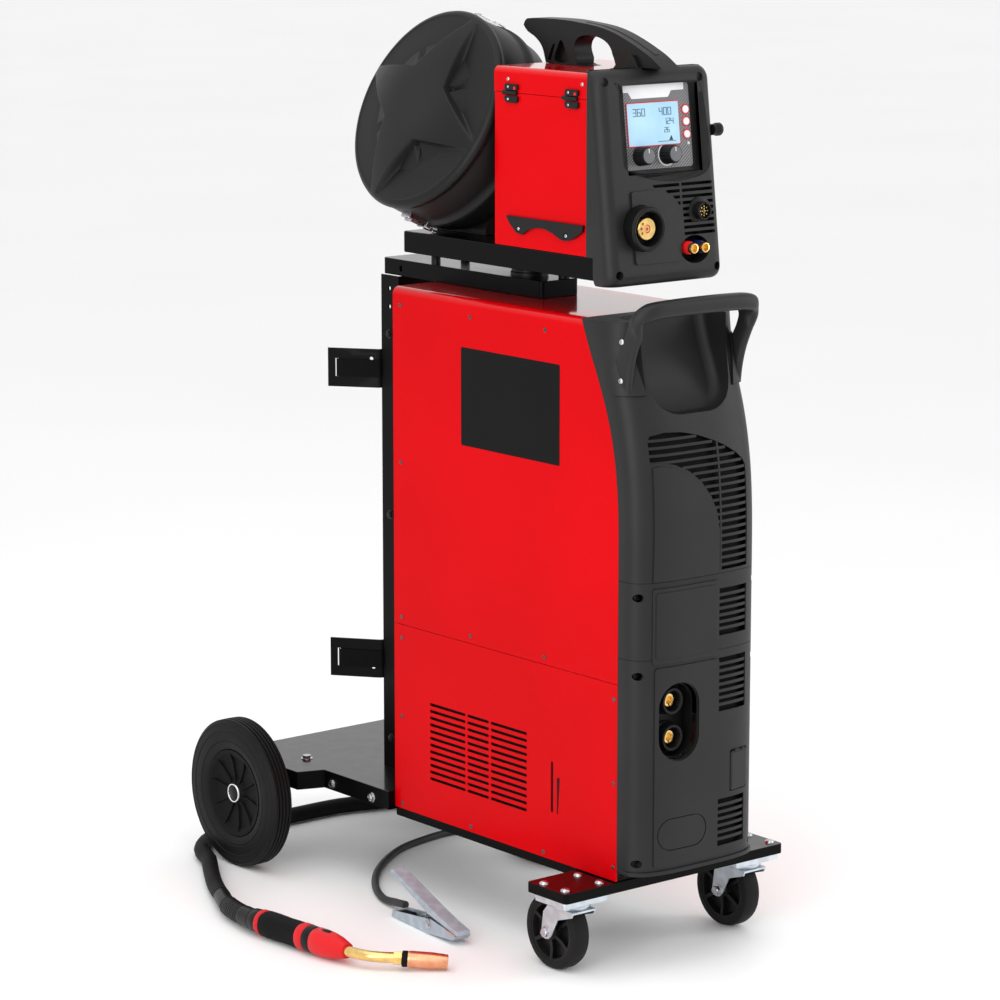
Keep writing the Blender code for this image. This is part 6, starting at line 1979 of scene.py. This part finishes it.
def make_frame():
    """Folded cart members: front plate, gas bottle shelf, mast, tray beam and their bolts."""
    plate = prism(rounded((-0.2235, 0.0005), (0.2235, 0.0940), 0.007), 0.1250, PLATE_TOP, PLAN)
    piece("front_cart_plate", plate, BLACK_PAINT, "chassis", ["caster_plate"],
          0.0012, minus=[block((-0.2200, 0.004, 0.110), (0.2200, 0.0905, 0.1380))])
    shelf = [(-0.137, 0.5530), (0.137, 0.5530), (0.137, 0.7300), (0.181, 0.7460), (0.181, 0.9150),
             (0.176, 0.9350), (0.160, 0.9400), (-0.160, 0.9400), (-0.176, 0.9350), (-0.181, 0.9150),
             (-0.181, 0.7460), (-0.137, 0.7300)]
    inner = [(-0.134, 0.5560), (0.134, 0.5560), (0.134, 0.7320), (0.178, 0.7480), (0.178, 0.9140),
             (0.173, 0.9330), (0.158, 0.9370), (-0.158, 0.9370), (-0.173, 0.9330), (-0.178, 0.9140),
             (-0.178, 0.7480), (-0.134, 0.7320)]
    piece("gas_bottle_shelf", prism(shelf, 0.138, SHELF_TOP, PLAN), BLACK_PAINT, "chassis",
          ["bottle_shelf"], 0.0010,
          minus=[prism(inner, 0.12, SHELF_TOP - 0.003, PLAN)])
    top = [hex_bolt((sign * 0.116, 0.808, SHELF_TOP), (0, 0, 1), 0.0075, 0.0050) for _,
           sign in both_sides()]
    sides = [hex_bolt((sign * 0.137, y, 0.150), (sign, 0, 0), 0.0065, 0.0040) for _,
             sign in both_sides() for y in (0.598, 0.707)]
    piece("shelf_bolts", together(*top, *sides), SCREW, "chassis")
    mast = [(-0.042, 0.690), (-0.042, 0.6440), (0.042, 0.6440), (0.042, 0.690), (0.0395, 0.690),
            (0.0395, 0.6465), (-0.0395, 0.6465), (-0.0395, 0.690)]
    holes = []
    for _, sign in both_sides():
        for z in (0.9750, 0.9450):
            holes.append(rod(0.0035, -0.01, 0.01, (sign * 0.041, 0.668, z), (1, 0, 0), 20))
    piece("mast_channel", prism(mast, SHELF_TOP + GAP, 0.9965, PLAN), BLACK_PAINT, "chassis",
          ["mast"], 0.0008, minus=holes)
    bolts = [hex_bolt((sign * 0.042, 0.668, z), (sign, 0, 0), 0.0058, 0.0036) for _,
             sign in both_sides() for z in (0.22, 0.60, 0.90)]
    piece("mast_bolts", together(*bolts), DRUM_BLACK, "chassis")
    beam = prism(rounded((-0.038, 0.2850), (0.038, 0.6900), 0.0065), 0.9973, BEAM_TOP, PLAN)
    room = block((-0.0350, 0.2885, 0.98), (0.0350, 0.6870, BEAM_TOP - 0.003))
    slots = []
    for _, sign in both_sides():
        slots.append(block((min(sign * 0.030, sign * 0.045), 0.6400, 1.0040),
                           (max(sign * 0.030, sign * 0.045), 0.6460, 1.0140)))
    piece("tray_beam", beam, BLACK_PAINT, "chassis", ["top_beam"], 0.0020,
          minus=[room, together(*slots)])
    collar = [(0.0170, -0.001), (0.0300, -0.001), (0.0300, 0.0060), (0.0285, 0.0075),
              (0.0285, 0.0190), (0.0270, 0.0205), (0.0170, 0.0205)]
    piece("tray_pivot_collar", lathe(collar, (0, 0.360, BEAM_TOP), (0, 0, 1), 64), BLACK, "chassis")
    stop = [(0.0, -0.001), (0.0088, -0.001), (0.0088, 0.0130), (0.0078, 0.0145), (0.0, 0.0150)]
    piece("tray_stop_front", lathe(stop, (0.018, 0.2975, BEAM_TOP), (0, 0, 1), 36), BLACK,
          "chassis")
    for name, sign in both_sides():
        post = [(0.0, -0.004), (0.0075, -0.004), (0.0075, 0.0155), (0.0066, 0.0170), (0.0, 0.0172)]
        piece(f"tray_stop_{name}", lathe(post, (sign * 0.0300, 0.560, BEAM_TOP), (0, 0, 1), 32),
              BLACK, "chassis")
    tray = [(-0.110, 0.0745), (0.110, 0.0745), (0.110, 0.541), (-0.110, 0.541)]
    piece("feeder_tray", prism(tray, 1.0520, FEEDER_BOX_BASE - GAP * 0.6, PLAN), BLACK_PAINT,
          "feeder", ["feeder_base"], 0.0025,
          minus=[block((-0.1072, 0.078, 1.03), (0.1072, 0.5380, FEEDER_BOX_BASE - 0.0035))])
    hub = [(0.0, 0.0), (0.0265, 0.0), (0.0265, 0.0085), (0.0380, 0.0090), (0.0380, 0.0380),
           (0.0, 0.0380)]
    low = BEAM_TOP + 0.0206
    piece("tray_pivot_hub", lathe([(r, min(h, FEEDER_BOX_BASE - 0.0040 - low)) for r, h in hub],
                                  (0, 0.360, low), (0, 0, 1), 56), BLACK, "feeder")


def make_brackets():
    """Bottle brackets: a bent strip with end slots, and the woven strap threaded through it."""
    for name, low, high, hole_height in (("lower", 0.319, 0.384, 0.337),
                                         ("upper", 0.808, 0.872, 0.856)):
        right = [(0.036, 0.6922), (0.045, 0.6952), (0.097, 0.763)]
        path = [(-x, y) for x, y in reversed(right)] + right
        rows = [[(x, y, z) for x, y in path] for z in (low, high)]
        obj = thickened(new_object(f"bottle_bracket_strip_{name}", skin(rows)), 0.003, 0)
        middle = (low + high) / 2
        cutters = []
        for _, sign in both_sides():
            spot = Vector((sign * 0.088, 0.751, 0))
            along = Vector((sign * 0.052, 0.068, 0)).normalized()
            out = Vector((-along.y, along.x, 0))
            slot = [spot + along * a + out * b for a,
                    b in ((-0.0028, -0.02), (0.0028, -0.02), (0.0028, 0.02), (-0.0028, 0.02))]
            cutters.append(loft([[Vector((p.x, p.y, z)) for p in slot]
                                 for z in (middle - 0.0150, middle + 0.0150)]))
            hole = Vector((sign * 0.0520, 0.7042, hole_height))
            cutters.append(rod(0.0032, -0.02, 0.02, hole, out, 20))
        boolean(obj, [together(*cutters)], "DIFFERENCE")
        dressed(obj, BLACK_PAINT, "chassis", 0.0005, [f"bottle_bracket_{name}"])
        bands = []
        for _, sign in both_sides():
            run = [(0.0455, 0.6910), (0.0500, 0.6965), (0.0600, 0.7096), (0.0776, 0.7326),
                   (0.0880, 0.7462), (0.0893, 0.7495), (0.0872, 0.7515)]
            spots = [Vector((p.x, p.y, 0)) for p in smooth_route(run, 0.004)]
            corners = [(k, middle + up * 0.0145) for k, up in ((-1, -1), (1, -1), (1, 1), (-1, 1))]
            rows = []
            for i, spot in enumerate(spots):
                ahead = heading(spots, i)
                out = Vector((ahead.y, -ahead.x, 0)) * 0.0008
                ring = [(spot + out * k, z) for k, z in corners]
                rows.append([(sign * p.x, p.y, z) for p, z in ring])
            bands.append(loft(rows))
        piece(f"bottle_strap_{name}", together(*bands), STRAP, "chassis")
        screws = [screw_head((sign * 0.020, 0.6940, middle), (0, 1, 0), 0.0050, 0.0025) for _,
                  sign in both_sides()]
        piece(f"bracket_screws_{name}", together(*screws), SCREW, "chassis")


def make_interior():
    """Materials for the nodes that keep their CAD shape, most of them behind the covers."""
    finish_node(BLACK_PAINT, "base_pan")
    finish_node(ZINC, "rear_axle")
    finish_node(RED_PAINT, "rear_panel")
    finish_node(BOARD, "power_module")
    finish_node(TANK, "coolant_tank")
    finish_node(DARK, "cooling_fan")
    finish_node(ALUMINIUM, "drive_unit", "pressure_arm")


def make_cart():
    make_rear_wheels()
    make_casters()
    make_frame()
    make_brackets()
    make_interior()
# --- Torch and earth clamp ----------------------------------------------------------------------

HANDLE_START = Vector((-0.436, 0.490, 0.0225))
HANDLE_END = Vector((-0.421, 0.296, 0.0225))
NECK_ROUTE = [(-0.4195, 0.276, 0.0225), (-0.411, 0.252, 0.0220), (-0.397, 0.234, 0.0210),
              (-0.376, 0.2165, 0.0200)]
NOZZLE_START = Vector((-0.383, 0.2225, 0.0198))
NOZZLE_END = Vector((-0.317, 0.168, 0.0135))
TORCH_RELIEF = [(-0.398, 0.655, 0.018), (-0.418, 0.610, 0.018), (-0.431, 0.560, 0.0195),
                (-0.437, 0.515, 0.0215), (-0.4375, 0.508, 0.0220)]
CLAMP_REAR = Vector((-0.203, 0.440, 0.0))
CLAMP_ALONG = Vector((-0.100, -0.995, 0.0)).normalized()


def ribbed_tube(route, radii):
    """A tube whose radius is a function of the distance along its route and of the whole length."""
    sides = 32
    spots = smooth_route([Vector(p) for p in route], 0.0012)
    rows, run = [], 0.0
    total = sum((b - a).length for a, b in zip(spots, spots[1:]))
    for i, spot in enumerate(spots):
        run += (spot - spots[max(i - 1, 0)]).length
        ahead = heading(spots, i)
        side = ahead.cross(Vector((0, 0, 1))).normalized()
        up = side.cross(ahead).normalized()
        radius = radii(run, total)
        rows.append([spot + (side * math.cos(math.tau * k / sides)
                             + up * math.sin(math.tau * k / sides)) * radius for k in range(sides)])
    return loft(rows)


def make_torch():
    def relief(run, total):
        if run > total - 0.030:
            return 0.0166
        if run < total - 0.098:
            return 0.0139
        return 0.0160 - (0.0024 if (run % 0.0066) > 0.0040 else 0.0)

    piece("torch_strain_relief", ribbed_tube(TORCH_RELIEF, relief), BLACK, "chassis",
          smooth=50)
    along = (HANDLE_END - HANDLE_START).normalized()
    length = (HANDLE_END - HANDLE_START).length
    up = Vector((0, 0, 1))
    side = along.cross(up).normalized()

    def ring(at, wide, tall, lift=0.0, power=2.5):
        made = []
        for i in range(40):
            a = math.tau * i / 40
            x = powered(math.cos(a), 2 / power) * wide
            z = powered(math.sin(a), 2 / power) * tall
            made.append(HANDLE_START + along * at + side * x + up * (z + lift))
        return made

    collar = [ring(a, r, r, power=2) for a,
              r in ((-0.018, 0.0168), (-0.016, 0.0182), (-0.004, 0.0190), (0.002, 0.0190),
                    (0.004, 0.0170))]
    piece("torch_collar_rear", loft(collar), BLACK, "chassis")
    band = [ring(a, r, r, power=2) for a,
            r in ((0.001, 0.0195), (0.003, 0.0206), (0.009, 0.0206), (0.011, 0.0195))]
    piece("torch_band_rear", loft(band), RED_PLASTIC, "chassis")
    grip = [(0.010, 0.0185, 0.0185), (0.013, 0.0198, 0.0200), (0.036, 0.0190, 0.0205),
            (0.064, 0.0184, 0.0198), (0.092, 0.0190, 0.0204), (0.100, 0.0186, 0.0200)]
    piece("torch_grip", loft([ring(*g) for g in grip]), DARK, "chassis",
          ["torch_handle"], smooth=45)
    stripe = []
    for at in np.linspace(0.012, 0.100, 18):
        a = 2.55 + 0.10 * math.sin(at * 40)
        r = 0.0203
        spot = HANDLE_START + along * at
        rows = []
        for da, dr in ((-0.14, -0.0010), (-0.10, 0.0004), (0.10, 0.0004), (0.14, -0.0010)):
            rows.append(spot + side * (math.cos(a + da) * (r + dr) * 0.965)
                        + up * (math.sin(a + da) * (r + dr)))
        stripe.append(rows)
    piece("torch_grip_stripe", loft(stripe), RED_PLASTIC, "chassis")
    front = [ring(a, w, t, power=2.2) for a, w,
             t in ((0.098, 0.0190, 0.0200), (0.101, 0.0206, 0.0214), (0.113, 0.0206, 0.0214),
                   (0.116, 0.0192, 0.0200))]
    piece("torch_band_front", loft(front), RED_PLASTIC, "chassis")
    black = [ring(a, w, t, power=2.2) for a, w,
             t in ((0.114, 0.0190, 0.0198), (0.117, 0.0200, 0.0208), (0.131, 0.0200, 0.0208),
                   (0.134, 0.0188, 0.0194))]
    piece("torch_band_black", loft(black), BLACK, "chassis")
    head = [ring(a, w, t, power=2.2) for a, w,
            t in ((0.132, 0.0190, 0.0198), (0.135, 0.0206, 0.0214), (0.150, 0.0206, 0.0214),
                  (0.168, 0.0194, 0.0204), (0.184, 0.0168, 0.0180),
                  (length + 0.001, 0.0140, 0.0146), (length + 0.010, 0.0118, 0.0120))]
    piece("torch_head", loft(head), RED_PLASTIC, "chassis", smooth=45)
    pad = [ring(0.155 + a, w, t, 0.013) for a, w,
           t in ((-0.0125, 0.0040, 0.0050), (-0.0090, 0.0062, 0.0088), (0.0, 0.0068, 0.0100),
                 (0.0090, 0.0060, 0.0092), (0.0125, 0.0040, 0.0060))]
    piece("torch_trigger_pad", loft(pad), BLACK, "trigger", ["torch_trigger"],
          0.0006)
    neck = smooth_route([Vector(HANDLE_END) + along * -0.002, *[Vector(p) for p in NECK_ROUTE]],
                        0.002)
    piece("torch_neck_tube", tube(neck, 0.0084, 28), BRASS, "chassis", ["torch_neck"],
          smooth=50)
    axis = (NOZZLE_END - NOZZLE_START).normalized()
    reach = (NOZZLE_END - NOZZLE_START).length
    nut = [(0.0, 0.002), (0.0106, 0.002), (0.0110, 0.004), (0.0110, 0.0140), (0.0104, 0.0160),
           (0.0, 0.0160)]
    piece("torch_neck_nut", lathe(nut, NOZZLE_START, axis, 6), BRASS, "chassis",
          bevel=0.0006)
    ring_profile = [(0.0, 0.0155), (0.0122, 0.0155), (0.0126, 0.0175), (0.0126, 0.0225),
                    (0.0120, 0.0245), (0.0, 0.0245)]
    piece("torch_insulator", lathe(ring_profile, NOZZLE_START, axis, 40), DARK, "chassis")
    cup = [(0.0070, 0.0240), (0.0122, 0.0240), (0.0130, 0.0280), (0.0130, reach * 0.72),
           (0.0112, reach - 0.001), (0.0106, reach), (0.0090, reach), (0.0092, reach - 0.012),
           (0.0085, 0.0300)]
    piece("torch_nozzle", lathe(cup, NOZZLE_START, axis, 56), COPPER, "chassis",
          bevel=0.0003)
    tip = [(0.0, 0.0240), (0.0050, 0.0240), (0.0048, reach - 0.0080), (0.0030, reach - 0.0020),
           (0.0010, reach - 0.0020), (0.0010, reach - 0.0060), (0.0, reach - 0.0060)]
    piece("torch_contact_tip", lathe(tip, NOZZLE_START, axis, 28), BRASS, "chassis")


def clamp_at(along, up, aside=0.0):
    across = CLAMP_ALONG.cross(Vector((0, 0, 1))).normalized()
    return CLAMP_REAR + CLAMP_ALONG * along + across * aside + Vector((0, 0, up))


def clamp_bar(outline, low, high):
    rows = [[clamp_at(a, u, side) for a, u in outline] for side in (low, high)]
    return loft(rows)


def make_clamp():
    """Sprung earth clamp: arms with open backs, pivot bolt, spring, jaws, rivets and cable end."""
    lower = [(0.0, 0.0005), (0.110, 0.0005), (0.182, 0.0080), (0.190, 0.0155), (0.150, 0.0225),
             (0.118, 0.0260), (0.004, 0.0120)]
    upper = [(-0.006, 0.073), (-0.002, 0.079), (0.120, 0.041), (0.160, 0.030), (0.190, 0.0235),
             (0.192, 0.0162), (0.152, 0.0232), (0.105, 0.0315), (0.050, 0.052)]
    trough = [(0.010, 0.0030), (0.108, 0.0030), (0.150, 0.0095), (0.150, 0.0400), (0.010, 0.0400)]
    piece("clamp_lower_arm", clamp_bar(lower, -0.0150, 0.0150), CLAMP_ZINC, "chassis",
          ["clamp_lower"], 0.0010, minus=[clamp_bar(trough, -0.0130, 0.0130)])
    hollow = [(0.002, 0.0600), (0.002, 0.0745), (0.118, 0.0390), (0.148, 0.0305), (0.148, 0.0100),
              (0.100, 0.0100)]
    piece("clamp_upper_arm", clamp_bar(upper, -0.0125, 0.0125), CLAMP_ZINC, "clamp_upper",
          ["clamp_upper"], 0.0010, minus=[clamp_bar(hollow, -0.0106, 0.0106)])
    bolt = together(*[hex_bolt(clamp_at(0.112, 0.0180, s * 0.0150),
                               (clamp_at(0, 0, s) - clamp_at(0, 0, 0)), 0.0062, 0.0030)
                      for s in (-1, 1)])
    piece("clamp_pivot_bolt", bolt, SCREW, "chassis")
    coil = []
    for i in range(121):
        a = math.tau * 5 * i / 120
        coil.append(clamp_at(0.086 + 0.0052 * math.cos(a), 0.0190 + 0.0052 * math.sin(a),
                             -0.0088 + 0.0176 * i / 120))
    piece("clamp_spring", tube(coil, 0.0010, 8), SCREW, "chassis")
    for name, outline, body in (("lower",
                                 [(0.158, 0.0172), (0.188, 0.0160), (0.1890, 0.0172),
                                  (0.186, 0.0182), (0.158, 0.0215)], "chassis"),
                                ("upper", [(0.160, 0.0225), (0.188, 0.0180), (0.190, 0.0200),
                                           (0.186, 0.0228), (0.162, 0.0262)], "clamp_upper")):
        jaw = clamp_bar(outline, -0.0140 if name == "lower" else -0.0115, 0.0140
                        if name == "lower" else 0.0115)
        piece(f"clamp_jaw_{name}", jaw, COPPER, body, bevel=0.0006)
    grip = [(0.002, 0.0035), (0.040, 0.0035), (0.044, 0.0050), (0.044, 0.0125), (0.040, 0.0140),
            (0.002, 0.0100)]
    piece("clamp_cable_sleeve", clamp_bar(grip, -0.0075, 0.0075), DARK, "chassis",
          bevel=0.0015)
    lug = [(0.044, 0.0055), (0.070, 0.0055), (0.070, 0.0080), (0.044, 0.0095)]
    piece("clamp_cable_lug", clamp_bar(lug, -0.0050, 0.0050), COPPER, "chassis",
          bevel=0.0006)
    cap = together(*[lathe([(0.0, 0.0), (0.0040, 0.0), (0.0034, 0.0012), (0.0, 0.0016)],
                           clamp_at(0.168, 0.0262, s * 0.006), (0.12, 0.1, 1), 16)
                     for s in (-1, 1)])
    piece("clamp_jaw_rivets", cap, SCREW, "clamp_upper")


def make_torch_and_clamp():
    make_torch()
    make_clamp()
# --- Everything ---------------------------------------------------------------------------------

make_camera()
make_studio()
make_leads()
make_upper_cover()
make_lower_panels()
make_side_screws()
make_prints()
make_rear()
make_front()
make_feeder()
make_drum()
make_cart()
make_torch_and_clamp()
